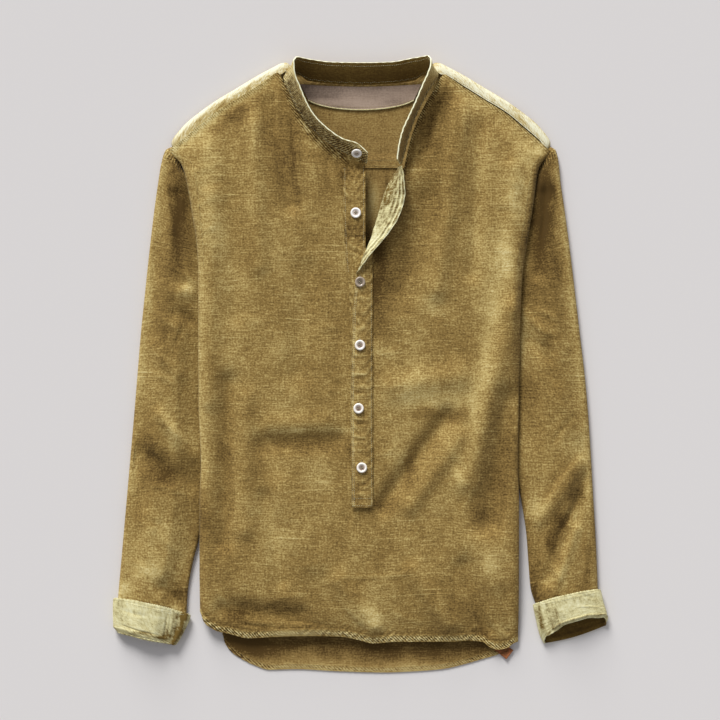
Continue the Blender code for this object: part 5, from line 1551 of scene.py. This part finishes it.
@dataclass
class Plackets:
    """The button stand and the top placket that turns back at the neck."""

    rows: int = 190
    under_columns: int = 22
    over_columns: int = 60
    edge: Pucker = Pucker(2.6, 0.25, 12.0, 0.75, 1.1, 9.0, 101)
    stand_edge: Pucker = Pucker(2.4, 0.2, 13.0, 1.1, 1.6, 16.0, 103)

    def under(self, wardrobe: Wardrobe) -> bpy.types.Object:
        """Make the button stand and hide the part it replaces."""
        part, climb = np.meshgrid(np.linspace(0, 1, self.under_columns), np.linspace(0, 1, self.rows))
        y = mix(PLACKET_UNDER[0].y, 257.5 - 13.0 * part, climb)
        left = read(PLACKET_UNDER, y, "left")
        right = read(PLACKET_UNDER, y, "right")
        x = mix(left, right, part)
        base = np.maximum(ground(read(SLIT, y, "left"), y), ground(left, y))
        base = base + mix(0.1, 0.6, ease((y - 190) / 30))
        wide = right - left
        seam = self.stand_edge.relief(y, part * wide) + self.stand_edge.relief(y + 31, (1 - part) * wide)
        relief = seam + 0.3 * rumple(x, y, 8, 9, 105) + creased(PLACKET_CREASES, x, y)
        z = base + LIFT - STAND_DROP * part + 0.6 * relief * ease((y - 100) / 20)
        z = mix(z, np.minimum(z, 12.0), ease((y - 234 + 6 * part) / 8))
        # painted light and shade that follow the relief, darker across the stand near y 162, lighter near
        # its left edge, and painted shade at its top, where it runs under the band
        tone = np.clip(0.5 * relief - 0.1 - 0.5 * bell(y - 162, 13) + 0.2 * bell(x + 9, 4)
                       - 0.5 * bell(y - 235, 12), -1.2, 1)
        cloth = pair(x, y + 2 * rumple(x, y, 20, 30, 107))
        made = shell("cloth_button_stand", [Grid(np.stack((x, y, z), -1), cloth, tone)],
                     (wardrobe.linen, wardrobe.inside, wardrobe.rim))
        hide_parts("placket_under")
        return made

    def over_rows(self, y: Array) -> tuple[Array, Array, Array]:
        """Follow the top placket from its seam over its turned fold to its free edge.

        Args:
            y: The rows' places.

        Returns:
            The points, how far each is from the seam, and how far each has turned over.
        """
        seam_x, flat, turned, lean = (read(PLACKET_OVER, y, name)[:, None]
                                      for name in ("seam_x", "flat", "folded", "lean"))
        total = flat + turned
        steps = self.over_columns
        gone = (np.arange(steps) + 0.5)[None] / steps * total
        arc = np.maximum(np.radians(lean) * TURN_RADIUS, 0.01)
        angle = np.where(turned > 0, np.radians(lean) * np.clip((gone - flat) / arc + 0.5, 0, 1), 0.0)
        step = total / steps
        x = seam_x - np.concatenate((0 * seam_x, np.cumsum(np.cos(angle) * step, 1)), 1)
        base = ground(seam_x, y[:, None]) + LIFT + mix(0.5, 0.0, ease((y[:, None] + 170) / 20))
        z = base + np.concatenate((0 * seam_x, np.cumsum(np.sin(angle) * step, 1)), 1)
        loose = ease((y[:, None] - 106) / 24)
        lift = LIFT * (1 - ease((y[:, None] - 100) / 60))
        z = z + lift * ease((seam_x - x) / 8)
        z = z + (1 - loose) * (ground(x, np.broadcast_to(y[:, None], x.shape)) - ground(seam_x, y[:, None]))
        away = np.linspace(0, 1, steps + 1)[None] * total
        over = ease((away - flat) / 3) * ease(turned / 6)
        return np.stack((x, np.broadcast_to(y[:, None], x.shape), z), -1), away, over

    def over(self, wardrobe: Wardrobe) -> bpy.types.Object:
        """Make the top placket and hide the part it replaces."""
        y = np.concatenate((np.linspace(PLACKET_OVER[0].y, 100, 110, endpoint=False),
                            np.linspace(100, PLACKET_OVER[-1].y, 90)))
        points, away, over = self.over_rows(y)
        rows = np.broadcast_to(y[:, None], away.shape)
        total = away[:, -1:]
        seam = self.edge.relief(rows, away) + self.edge.relief(rows + 57, total - away)
        foot = 0.35 * bell(rows - PLACKET_OVER[0].y - 9, 1.4)
        dents = 0.3 * rumple(away, rows, 9, 8, 109) + 0.35 * rumple(away, rows + 0.8 * away, 14, 11, 111)
        near = bell(total - away - 5, 7)
        ridges = 0.5 * np.cos((total - away) * 1.25 + 1.2 * rumple(away, rows, 9, 22, 117)) * over * near
        closed = 1 - ease((rows - 96) / 12)
        wrinkles = 1.7 * creased(PLACKET_CREASES, points[..., 0], rows) * closed
        relief = (seam + dents + wrinkles) * (1 - 0.4 * over) + ridges - foot
        points = points + outwards(points) * (0.8 * relief)[..., None]
        # painted shade along both edges of the closed placket, painted light and shade that follow the
        # relief, and on the flap painted light on its ridges and a lighter free edge
        dark = bell(away - 0.4, 0.9) + bell(total - away - 0.4, 0.8)
        tone = 0.55 * relief + 0.1 * rumple(away, rows, 12, 40, 113) - 0.5 * dark * (1 - over)
        flecks = 0.55 * rumple(away, rows, 3.2, 4.5, 118) + 0.35 * rumple(away, rows, 1.6, 2.2, 119)
        # lighter across the flap near y 150 and darker towards its top
        flap_bands = 0.75 * bell(rows - 150, 24) - 0.5 * ease((rows - 176) / 20) * bell(away - 8, 9)
        tone = tone + over * (0.6 * bell(total - away, 1.6) + 0.9 * ridges - 0.35 + flecks + flap_bands)
        tone = tone + 0.3 * bell(away - 24, 3) * (1 - over)
        cloth = pair(-away, rows + 1.5 * rumple(away, rows, 20, 30, 115))
        grid = Grid(points, cloth, np.clip(tone, -1.1, 1.1)).turned()
        made = shell("cloth_top_placket", [grid], (wardrobe.linen, wardrobe.pale, wardrobe.rim))
        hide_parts("placket_over")
        return made


# ---- sleeves and cuffs --------------------------------------------------------------------
@dataclass
class Tube:
    """A flattened tube's round, flat below, rounded at both sides and shaped above."""

    bottom: int = 16
    corner: int = 9
    top: int = 46

    def spots(self) -> tuple[Array, Array]:
        """Give each column's kind (0 bottom, 1 outer, 2 top, 3 inner) and its place on that."""
        low = np.linspace(0, 1, self.bottom)
        outer = np.radians(np.linspace(-90, 90, self.corner + 2)[1:-1])
        high = np.linspace(1, 0, self.top)
        inner = np.radians(np.linspace(90, 270, self.corner + 2)[1:-1])
        kind = np.repeat((0, 1, 2, 3, 0), (len(low), len(outer), len(high), len(inner), 1))
        return kind, np.concatenate((low, outer, high, inner, (0.0,)))

    def around(self, outer: Array, inner: Array, heights: tuple[Array, Array, Array], low: float,
               relief: Callable[[Array, Array], Array]) -> tuple[Array, Array, Array, Array]:
        """Give the points of a tube.

        Args:
            outer: Each row's outer end, rows x 2.
            inner: Each row's inner end, rows x 2.
            heights: Each row's crest, outer side and inner side.
            low: Height of the flat underside.
            relief: Gives what the folds add above.

        Returns:
            The points, how far each has gone round, the top's share (0 below) and the top's place across.
        """
        kind, place = self.spots()
        kind, place = kind[None], place[None]
        across = outer - inner
        width = np.linalg.norm(across, axis=1)[:, None]
        crest, outer_height, inner_height = (value[:, None] for value in heights)
        outer_radius = np.minimum(outer_height / 2, width / 3)
        inner_radius = np.minimum(inner_height / 2, width / 3)
        distance = mix(inner_radius, width - outer_radius, place)
        distance = np.where(kind == 1, width - outer_radius + outer_radius * np.cos(place), distance)
        distance = np.where(kind == 3, inner_radius + inner_radius * np.cos(place), distance)
        x = inner[:, :1] + across[:, :1] * distance / width
        y = inner[:, 1:] + across[:, 1:] * distance / width
        part = np.clip(place, 0, 1)
        body = mix(inner_height, crest, read(CROWN, part, "inner"))
        body = mix(body, outer_height, read(CROWN, part, "outer"))
        soft = np.sqrt(np.clip(np.sin(math.pi * (0.06 + 0.88 * part)), 0, 1))
        top = np.maximum(low + 3.6, body + relief(x, y) * soft)
        z = np.where(kind == 2, top, low)
        z = np.where(kind == 1, mix(low, outer_height, 0.5 + 0.5 * np.sin(place)), z)
        z = np.where(kind == 3, mix(low, inner_height, 0.5 + 0.5 * np.sin(place)), z)
        points = np.stack((x, y, z), -1)
        above = np.where(kind == 2, 1.0, np.where(kind == 0, 0.0, 0.5)) + 0 * x
        return points, gone_along(points, 1), above, distance / width


@dataclass
class Sleeve:
    """A sleeve: a tube from the armhole to the cuff."""

    side: int
    rings: Sequence[Ring]
    folds: Sequence[Fold]
    creases: Sequence[Crease]
    patches: Sequence[Patch]
    seed: int
    rows: int = 210
    tube: Tube = field(default_factory=Tube)
    armhole: Pucker = Pucker(1.5, 0.0, 8.0, 0.9, 0.3, 14.0, 121)

    def build(self, wardrobe: Wardrobe) -> bpy.types.Object:
        """Make the sleeve and hide the part it replaces."""
        name = "sleeve_left" if self.side < 0 else "sleeve_right"
        at = np.linspace(self.rings[0].station, self.rings[-1].station, self.rows)
        crest = read(self.rings, at, "crest")
        heights = (crest, np.minimum(SLEEVE_OUTER, crest), np.full_like(crest, SLEEVE_INNER))

        def relief(x: Array, y: Array) -> Array:
            """Add the sleeve's folds, creases and crinkles."""
            return folded(self.folds, x, y) + creased(self.creases, x, y) + crinkle(x, y, self.seed)

        points, gone, above, share = self.tube.around(*ends(self.rings, at), heights, FLOOR, relief)
        x, y, z = np.moveaxis(points, -1, 0)
        rows = np.broadcast_to(at[:, None], x.shape)
        ease_in = self.armhole.relief(gone, rows) * np.minimum(above, 1) * ease((rows - 1) / 6)
        z = z + np.where(above > 0.4, 0.6 * ease_in, 0)
        relieved = creased(self.creases, x, y) + crinkle(x, y, self.seed)
        # painted light and shade: the patches, the creases' relief and the armhole's ease; a painted
        # highlight along the outer roll and painted shade along the top's inner side
        tone = painted_patches(self.patches, x, y, self.seed + 5) + np.clip(relieved, -2, 2) / 5 + 0.3 * ease_in
        tone = tone + 0.10 * rumple(x, y, 24, 40, self.seed + 7)
        tone = tone + (0.32 if self.side > 0 else 0.22) * bell(share - 0.93, 0.07)
        tone = tone - 0.30 * bell(share - 0.02, 0.06) * (above > 0.4)
        cloth = pair(gone + 2.5 * rumple(x, y, 60, 45, self.seed + 9),
                     -rows + 3.0 * rumple(x, y, 50, 60, self.seed + 11))
        cloth[:, -1] = cloth[:, 0] + pair(gone[:, -1], 0 * at)
        grid = Grid(np.stack((x, y, z), -1), cloth, np.clip(tone, -1.5, 1.2), 0.5 * bell(rows - 4, 7))
        if self.side < 0:
            grid = grid.turned()
        made = shell("cloth_" + name, [grid], (wardrobe.linen, wardrobe.inside, wardrobe.rim), joined=True)
        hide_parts(name)
        return made


@dataclass
class TurnedCuff:
    """A cuff turned up once, its pale reverse outside and its mouth open."""

    side: int
    rings: Sequence[Cuff]
    creases: Sequence[Crease]
    patches: Sequence[Patch]
    seed: int
    rows: int = 76
    roll: float = 0.6                 # how far the mouth's edge is rolled up
    pleated: float = 0.08             # share of the width that is drawn into pleats
    sag: float = 3.0                  # how far the lower layer hangs out of the mouth
    wall: float = 1.7
    tube: Tube = field(default_factory=lambda: Tube(14, 15, 104))
    lip: Pucker = Pucker(4.2, 0.45, 5.5, 0.35, 0.5, 4.0, 141)
    mouth: Pucker = Pucker(3.0, 0.3, 6.5, 0.4, 0.5, 5.0, 143)

    def build(self, wardrobe: Wardrobe) -> bpy.types.Object:
        """Make the cuff and hide the part it replaces."""
        name = "cuff_left" if self.side < 0 else "cuff_right"
        bend = np.linspace(0, 1, self.rows)
        at = 0.5 * (bend + ease(bend))
        outer, inner = ends(self.rings, at)
        heights = tuple(np.full_like(at, height) for height in (CUFF_CREST, CUFF_SIDE, CUFF_SIDE - 2))

        def relief(x: Array, y: Array) -> Array:
            """Add the cuff's pleats and dents, none at the very crest of its box."""
            return creased(self.creases, x, y) + 0.7 * crinkle(x, y, self.seed)

        points, gone, above, share = self.tube.around(outer, inner, heights, CUFF_WALL / 2, relief)
        high = ease((points[..., 2] - CUFF_WALL) / (CUFF_CREST - CUFF_WALL))
        shift = read(self.rings, at, "lip") + read(self.rings, at, "mouth")
        points[..., 1] += shift[:, None] * high
        sag = self.sag * np.sin(math.pi * np.clip(share, 0, 1)) * ease((at[:, None] - 0.4) / 0.6)
        points[..., 1] -= sag * (1 - ease((points[..., 2] - 1) / 8))
        long = float(np.hypot(*(inner[-1] - inner[0])))
        down = np.broadcast_to((at * long)[:, None], gone.shape)
        seam = self.lip.relief(gone, down) + self.mouth.relief(gone, long - down)
        off = self.side * outwards(points)
        ribs = np.cos(46 * share + 0.8 * rumple(gone, down, 5, 16, self.seed + 3))
        ribs = ribs * bell(share, self.pleated) * (above > 0.4)
        left = long - down
        roll = self.roll * (bell(left - 2.6, 2.2) - 0.9 * bell(left - 6.4, 1.3)) * ease((share - 0.12) / 0.1)
        raised = (0.7 * seam + roll + 0.55 * ribs) * (points[..., 2] > 3)
        points = points + off * raised[..., None]
        x, y, _ = np.moveaxis(points, -1, 0)
        # painted light and shade that follow the puckers, creases, pleats and rolled lip, painted shade
        # along the inner side, and the patches
        tone = 0.35 * seam + 0.30 * np.clip(creased(self.creases, x, y), -2, 2)
        tone = tone + painted_patches(self.patches, x, y, self.seed + 5)
        tone = tone - 0.35 * bell(share, 0.06) + 0.15 * rumple(gone, down, 12, 9, self.seed + 7)
        tone = tone + 0.55 * ribs + 0.5 * np.minimum(roll, 0.3)
        tone = tone + 0.30 * rumple(gone, down, 3.5, 3.5, self.seed + 9)
        grid = Grid(points, pair(gone, -down), np.clip(tone, -1.5, 1.1))
        if self.side < 0:
            grid = grid.turned()
        made = shell("cloth_" + name, [grid], (wardrobe.pale, wardrobe.dark_inside, wardrobe.pale),
                     Slot.REVERSE, self.wall, joined=True)
        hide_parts(name)
        return made


# ---- buttons and the tab ------------------------------------------------------------------
@dataclass
class ShirtButtons:
    """Six four-hole buttons with a dished middle, and the thread that holds them."""

    collar: CollarBand
    radius: float = BUTTON_RADIUS
    height: float = BUTTON_HEIGHT
    segments: int = 48

    def seat(self, spot: Edge) -> tuple[float, float]:
        """Give the height of the cloth's upper face under a button, and the cloth's tilt."""
        if spot.y > BAND_START_Y:
            return self.collar_seat(spot)
        closed = spot.y < OPEN_FROM_Y
        lifted = (2 * LIFT if closed else LIFT) + 0.2
        heights = []
        for y in (spot.y - self.radius, spot.y, spot.y + self.radius):
            x = spot.x if closed else float(read(SLIT, y, "left"))
            heights.append(float(ground(x, y)) + lifted)
        return max(heights) + LINEN / 2, 0.0

    def collar_seat(self, spot: Edge) -> tuple[float, float]:
        """Give the same for the button on the band's end, which lies on the band's slope."""
        shares = [step / 100 for step in range(12)]
        share = min(shares, key=lambda share: abs(float(read(COLLAR, share, "base_x")) - spot.x))
        low, high = self.collar.section(np.array((share, share)), np.array((0.0, 1.0)))
        part = (spot.y - low[1]) / (high[1] - low[1])
        tilt = math.atan2(high[2] - low[2], high[1] - low[1])
        return mix(low[2], high[2], part) + (1.6 + BAND_WALL / 2) / math.cos(tilt) + 2.5, tilt

    def stance(self, number: int, spot: Edge) -> Matrix:
        """Give where a button stands and how it is turned."""
        seat, tilt = self.seat(spot)
        place = Matrix.Translation(Vector(to_frame(np.array((spot.x, spot.y, seat + 0.3)))))
        return place @ Matrix.Rotation(tilt, 4, "X") @ Matrix.Rotation(0.35 * number, 4, "Z")

    def blank(self, wardrobe: Wardrobe) -> bpy.types.Mesh:
        """Turn one button, drill it, and mark its dished middle."""
        radius, height = self.radius, self.height
        build = bmesh.new()
        line = [build.verts.new((share * radius * MM, 0, part * height * MM))
                for share, part in BUTTON_TURNED]
        edges = [build.edges.new(pair) for pair in zip(line, line[1:])]
        bmesh.ops.spin(build, geom=line + edges, cent=(0, 0, 0), axis=(0, 0, 1), angle=2 * math.pi,
                       steps=self.segments, use_merge=True)
        bmesh.ops.remove_doubles(build, verts=build.verts, dist=0.000005)
        bmesh.ops.recalc_face_normals(build, faces=build.faces)
        mesh = bpy.data.meshes.new("button_blank")
        build.to_mesh(mesh)
        build.free()
        mesh.materials.append(wardrobe.pearl)
        made = link("button_blank", mesh)
        build = bmesh.new()
        for sign_x in (-1, 1):
            for sign_y in (-1, 1):
                hole = bmesh.ops.create_cone(build, cap_ends=True, segments=16, radius1=HOLE_RADIUS * MM,
                                             radius2=HOLE_RADIUS * MM, depth=3 * height * MM)
                shift = Vector((sign_x * HOLE_PLACE / 2, sign_y * HOLE_PLACE / 2, height / 2)) * MM
                bmesh.ops.translate(build, verts=hole["verts"], vec=shift)
        holes = bpy.data.meshes.new("button_holes")
        build.to_mesh(holes)
        build.free()
        drill = link("button_holes", holes)
        cut = made.modifiers.new("holes", "BOOLEAN")
        cut.object = drill
        cut.operation = "DIFFERENCE"
        cut.solver = "EXACT"
        plain(made)
        bpy.data.objects.remove(drill, do_unlink=True)
        drilled = made.data
        bpy.data.objects.remove(made, do_unlink=True)
        places = np.array([vertex.co for vertex in drilled.vertices]) / MM
        away = np.hypot(places[:, 0], places[:, 1]) / radius
        dished = (1 - ease((away - 0.50) / 0.12)) * (places[:, 2] > 0.1)
        drilled.attributes.new("dish", "FLOAT", "POINT").data.foreach_set("value", dished.astype(np.float32))
        drilled.shade_smooth()
        drilled.set_sharp_from_angle(angle=math.radians(40))
        return drilled

    def build(self, wardrobe: Wardrobe) -> list[bpy.types.Object]:
        """Make the buttons and hide the parts they replace."""
        blank = self.blank(wardrobe)
        # the third button takes the pearl with painted shade, for the flap's shadow over it
        finishes = 2 * [wardrobe.pearl] + [wardrobe.shaded_pearl] + 3 * [wardrobe.darker_pearl]
        made = []
        for number, spot in enumerate(BUTTONS, 1):
            mesh = blank.copy()
            mesh.transform(self.stance(number, spot))
            mesh.materials[0] = finishes[number - 1]
            piece = ride(link(f"shirt_button_{number}", mesh), Slot.BUTTON)
            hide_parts(f"button_{number}")
            made.append(piece)
        bpy.data.meshes.remove(blank)
        return made

    def thread_paths(self) -> list[Array]:
        """Give the two crossing loops of thread through each button's holes, and its shank below."""
        paths = []
        for number, spot in enumerate(BUTTONS, 1):
            turn = self.stance(number, spot)
            half = HOLE_PLACE / 2
            for sign in (-1, 1):
                ends = ((-half, sign * half, 0.2), (-half, sign * half, 1.5), (-0.4, sign * half, 1.75),
                        (0.4, sign * half, 1.75), (half, sign * half, 1.5), (half, sign * half, 0.2))
                paths.append(np.array([tuple(turn @ (Vector(end) * MM)) for end in ends]))
        return paths


@dataclass
class SideTab:
    """The small rust tab at the right side seam."""

    steps: int = 16

    def build(self, wardrobe: Wardrobe) -> bpy.types.Object:
        """Make the tab and hide the part it replaces."""
        first, second, third, fourth = (np.array(corner) for corner in TAB_CORNERS)
        part, share = np.meshgrid(np.linspace(0, 1, self.steps), np.linspace(0, 1, self.steps))
        across = share[..., None]
        flat = mix(mix(first, second, across), mix(fourth, third, across), part[..., None])
        x, y = np.moveaxis(flat, -1, 0)
        curl = 0.9 * ease((share - 0.6) / 0.4) + 0.2 * rumple(x, y, 5, 5, 161)
        points = np.stack((x, y, FLOOR + LIFT + np.maximum(curl, 0)), -1)
        tone = 0.4 * rumple(x, y, 4, 4, 163) + 0.3 * bell(share - 0.95, 0.08)
        made = shell("cloth_tab", [Grid(points, flat, tone).turned()], 3 * (wardrobe.rust,), Slot.TAB)
        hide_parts("side_tab")
        return made


# ---- the stitching ------------------------------------------------------------------------
@dataclass
class Stitching:
    """Every row of stitches, laid on the finished cloth."""

    trees: dict[str, BVHTree]
    collar: CollarBand
    plackets: Plackets
    facing: NeckFacing
    lift: float = 0.12

    def build(self, wardrobe: Wardrobe) -> None:
        """Sew all rows."""
        row = StitchRow()
        dark, pale = wardrobe.thread, wardrobe.pale_thread
        for name, paths, thread in (
                ("hems", self.hems(), dark), ("placket", self.placket_rows(), pale),
                ("collar", self.collar_rows(), pale), ("cuffs", self.cuff_rows(), pale),
                ("armholes", self.armhole_rows(), dark), ("yoke", self.yoke_rows(), dark)):
            row.sew("stitches_" + name, paths, thread)
        row.sew("buttonhole_stitches", self.buttonholes(), pale, 0.42, 0.24, 0.2)

    def laid(self, x: Any, y: Any, *names: str, lift: float | None = None) -> Array:
        """Lay a path on the highest of some pieces."""
        return lay_on([self.trees[name] for name in names], pair(x, y), self.lift if lift is None else lift)

    def hems(self) -> list[Array]:
        """Give the rows along the front's hem and the back's tail."""
        front, tail = np.linspace(-184, 184, 300), np.linspace(-160, 166, 260)
        return [self.laid(front, read(FRONT_HEM, front, "y") + 7.0, "front"),
                self.laid(tail, read(TAIL_HEM, tail, "y") + 5.6, "back")]

    def placket_rows(self) -> list[Array]:
        """Give the rows inside the placket's edges, its foot's box and the stand's rows."""
        low = PLACKET_OVER[0].y
        y = np.linspace(low + 2, 96, 190)
        seam_x = read(PLACKET_OVER, y, "seam_x")
        free_x = seam_x - read(PLACKET_OVER, y, "flat")
        paths = [self.laid(x, y, "top_placket") for x in (seam_x - 1.6, free_x + 1.6, free_x + 3.4)]
        left, right, below, above = -9.6, 13.0, low + 2, low + 11
        box = np.array(((left, below), (right, below), (right, above), (left, above), (left, below)))
        corners = [mix(start, end, np.linspace(0, 1, 14)[:, None]) for start, end in zip(box, box[1:])]
        paths.append(self.laid(*np.concatenate(corners).T, "top_placket"))
        y = np.linspace(112, 238, 110)
        for name, shift in (("left", 2.0), ("right", -2.0)):
            paths.append(self.laid(read(PLACKET_UNDER, y, name) + shift, y, "stand"))
        y = np.linspace(112, 236, 120)
        points, away, _ = self.plackets.over_rows(y)
        for inward in (1.8, 8.5):
            spot = np.argmin(np.abs(away[:, -1:] - inward - away), 1)
            flap = points[np.arange(len(y)), spot]
            paths.append(self.laid(*flap[:, :2].T, "top_placket", lift=0.15))
        return paths

    def collar_rows(self) -> list[Array]:
        """Give the rows near the band's seam and its upper edge, outside and inside."""
        share = np.linspace(0.004, 0.996, 420)
        paths = []
        for part in (0.13, 0.9):
            points = self.collar.section(share, np.full_like(share, part))
            away = np.cross(np.gradient(points, axis=0), (0, 0, 1.0))
            away /= np.linalg.norm(away, axis=1)[:, None]
            for side in (-1, 1):
                starts = to_frame(points + side * 5 * away)
                hits = [self.trees["collar"].ray_cast(Vector(start), Vector(-side * out), 12 * MM)
                        for start, out in zip(starts, away)]
                paths.append(np.array([tuple(hit[0] + hit[1] * self.lift * MM) for hit in hits
                                       if hit[0] is not None]))
        return paths

    def cuff_rows(self) -> list[Array]:
        """Give the rows below each cuff's upper lip and above its mouth."""
        paths = []
        for name, rings in (("cuff_left", LEFT_CUFF), ("cuff_right", RIGHT_CUFF)):
            for at, inward in ((0.0, -5.4), (0.93, 0.0)):
                outer, inner = ends(rings, at)
                lift = float(read(rings, at, "lip") + read(rings, at, "mouth"))
                path = mix(inner, outer, np.linspace(0.09, 0.93, 90)[:, None])
                paths.append(self.laid(path[:, 0], path[:, 1] + (inward + lift), name))
        return paths

    def armhole_rows(self) -> list[Array]:
        """Give the rows beside both armholes."""
        y = np.linspace(118, 252, 120)
        return [self.laid(read(SIDES, y, "left") + mix(7.0, 13.0, ease((y - 120) / 130)), y, "front"),
                self.laid(read(SIDES, y, "right") - 8.0, y, "front")]

    def yoke_rows(self) -> list[Array]:
        """Give the rows along the yoke's lower edge, the right forward seam and the facing."""
        x = np.linspace(-58, 50, 110)
        rows = [self.laid(x, YOKE_EDGE_Y + up, "yoke") for up in (2.4, 9.0)]
        x = np.linspace(104, 224, 110)
        rows += [self.laid(x, read(YOKE, x, "end_y") + up, "front", "yoke") for up in (2.0, -2.8)]
        x = np.linspace(-FACING_HALF + 3, FACING_HALF - 3, 120)
        edge = self.facing.points(x, np.full_like(x, 0.11))
        return rows + [self.laid(*edge[:, :2].T, "facing")]

    def buttonholes(self) -> list[Array]:
        """Give the ovals of thread round the buttonholes of the closed placket and of the flap."""
        turn = np.linspace(0, 2 * math.pi, 60)
        across, along = np.cos(turn), np.sin(turn)
        ovals = [(spot.x + 1.6 * across, spot.y + 8.2 * along) for spot in BUTTONS[2:]]
        ovals.append((38.5 + 1.5 * across + 3.0 * along, 192.5 + 7.5 * along))
        return [self.laid(x, y, "top_placket", lift=0.1) for x, y in ovals]


def sew_button_threads(buttons: ShirtButtons, wardrobe: Wardrobe) -> bpy.types.Object:
    """Sweep the threads that hold the buttons and make them one plain mesh."""
    curve = bpy.data.curves.new("button_threads", "CURVE")
    curve.dimensions = "3D"
    curve.bevel_depth = 0.26 * MM
    curve.bevel_resolution = 1
    curve.use_fill_caps = True
    for path in buttons.thread_paths():
        spline = curve.splines.new("POLY")
        spline.points.add(len(path) - 1)
        spline.points.foreach_set("co", np.concatenate((path, np.ones((len(path), 1))), 1).reshape(-1))
    curve.materials.append(wardrobe.pale_thread)
    drawn = link("button_threads_drawn", curve)
    mesh = as_shown(drawn)
    bpy.data.objects.remove(drawn, do_unlink=True)
    made = link("button_threads", mesh)
    made.data.shade_smooth()
    return ride(made, Slot.BUTTON)


# ---- the studio ---------------------------------------------------------------------------
@dataclass(frozen=True)
class Sun:
    """A soft sun: its strength, how far it stands left of the picture's top, its height and its width."""

    name: str
    strength: float
    turn: float       # degrees
    height: float     # degrees
    angle: float      # degrees


@dataclass
class Studio:
    """A pale floor, two soft suns from the upper left, an even sky, and the camera above."""

    camera_place: tuple[float, float, float] = (-0.0002, 0.0065, 3.2)
    frame_width: float = 0.8748       # of the photograph's frame on the floor, in metres
    floor_colour: Colour = (222, 220, 221)
    suns: tuple[Sun, ...] = (Sun("soft sun", 2.55, 20.0, 33.0, 22.0),
                             Sun("low soft sun", 1.5, 14.0, 16.0, 24.0))
    sky: float = 0.365

    def build(self) -> None:
        """Make the studio."""
        self.floor()
        self.lights()
        self.camera()

    def floor(self) -> None:
        """Lay the floor."""
        size = 6.0
        mesh = bpy.data.meshes.new("studio_floor")
        mesh.from_pydata([(-size, -size, 0), (size, -size, 0), (size, size, 0), (-size, size, 0)], [],
                         [(0, 1, 2, 3)])
        made = link("studio_floor", mesh)
        paper, nodes, shader = new_finish("pale studio paper")
        grain = nodes.noise(nodes.place(), (400.0, 400.0, 400.0), 2.0)
        low = srgb(*(part - 1 for part in self.floor_colour))
        tint = nodes.blend(grain, low, srgb(*self.floor_colour))
        nodes.feed(shader, {"Base Color": tint, "Roughness": 0.95, "Specular IOR Level": 0.1})
        mesh.materials.append(paper)

    def lights(self) -> None:
        """Hang the suns and colour the sky."""
        for one in self.suns:
            sun = bpy.data.lights.new(one.name, "SUN")
            sun.energy = one.strength
            sun.angle = math.radians(one.angle)
            sun.color = (1.0, 0.985, 0.96)
            hung = link(one.name, sun)
            turn, height = math.radians(one.turn), math.radians(one.height)
            towards = Vector((-math.sin(turn) * math.cos(height), math.cos(turn) * math.cos(height),
                              math.sin(height)))
            hung.rotation_euler = towards.to_track_quat("Z", "Y").to_euler()
        world = bpy.data.worlds.new("even sky")
        world.use_nodes = True
        sky = world.node_tree.nodes["Background"]
        sky.inputs["Color"].default_value = (1.0, 0.99, 1.0, 1.0)
        sky.inputs["Strength"].default_value = self.sky
        bpy.context.scene.world = world

    def camera(self) -> None:
        """Set the camera straight above the shirt."""
        lens = bpy.data.cameras.new("camera")
        lens.sensor_width = 36.0
        lens.lens = 36.0 * self.camera_place[2] / self.frame_width
        lens.clip_end = 50.0
        made = link("camera", lens)
        made.location = self.camera_place
        bpy.context.scene.camera = made
        bpy.context.scene.view_settings.view_transform = "Standard"


# ---- a piece's cut, as a record; and the build --------------------------------------------
class Cut(NamedTuple):
    """The flat size in metres, and the area in square metres, of what shows of a piece."""
    piece: str
    wide: float
    long: float
    area: float
    rests_on: tuple[str, ...]


def main() -> None:
    """Build the shirt's pieces in order, then the studio."""
    wardrobe = Wardrobe()
    collar, plackets, facing = CollarBand(), Plackets(), NeckFacing()
    pieces = {
        "back": Back().build(wardrobe),
        "yoke": ShoulderYoke().build(wardrobe),
        "front": Front().build(wardrobe),
        "collar": collar.build(wardrobe),
        "facing": facing.build(wardrobe),
        "stand": plackets.under(wardrobe),
        "top_placket": plackets.over(wardrobe),
        "sleeve_left": Sleeve(-1, LEFT_SLEEVE, LEFT_SLEEVE_FOLDS, LEFT_SLEEVE_CREASES,
                              LEFT_SLEEVE_PATCHES, 201).build(wardrobe),
        "sleeve_right": Sleeve(1, RIGHT_SLEEVE, RIGHT_SLEEVE_FOLDS, RIGHT_SLEEVE_CREASES,
                               RIGHT_SLEEVE_PATCHES, 231).build(wardrobe),
        "cuff_left": TurnedCuff(-1, LEFT_CUFF, LEFT_CUFF_CREASES, LEFT_CUFF_PATCHES, 261,
                                pleated=0.14).build(wardrobe),
        "cuff_right": TurnedCuff(1, RIGHT_CUFF, RIGHT_CUFF_CREASES, RIGHT_CUFF_PATCHES, 281, roll=1.1,
                                 pleated=0.17).build(wardrobe),
    }
    facing.piping(wardrobe)
    buttons = ShirtButtons(collar)
    buttons.build(wardrobe)
    SideTab().build(wardrobe)
    trees = {name: surface_tree(piece) for name, piece in pieces.items()}
    Stitching(trees, collar, plackets, facing).build(wardrobe)
    sew_button_threads(buttons, wardrobe)
    Studio().build()


if __name__ == "__main__":
    main()
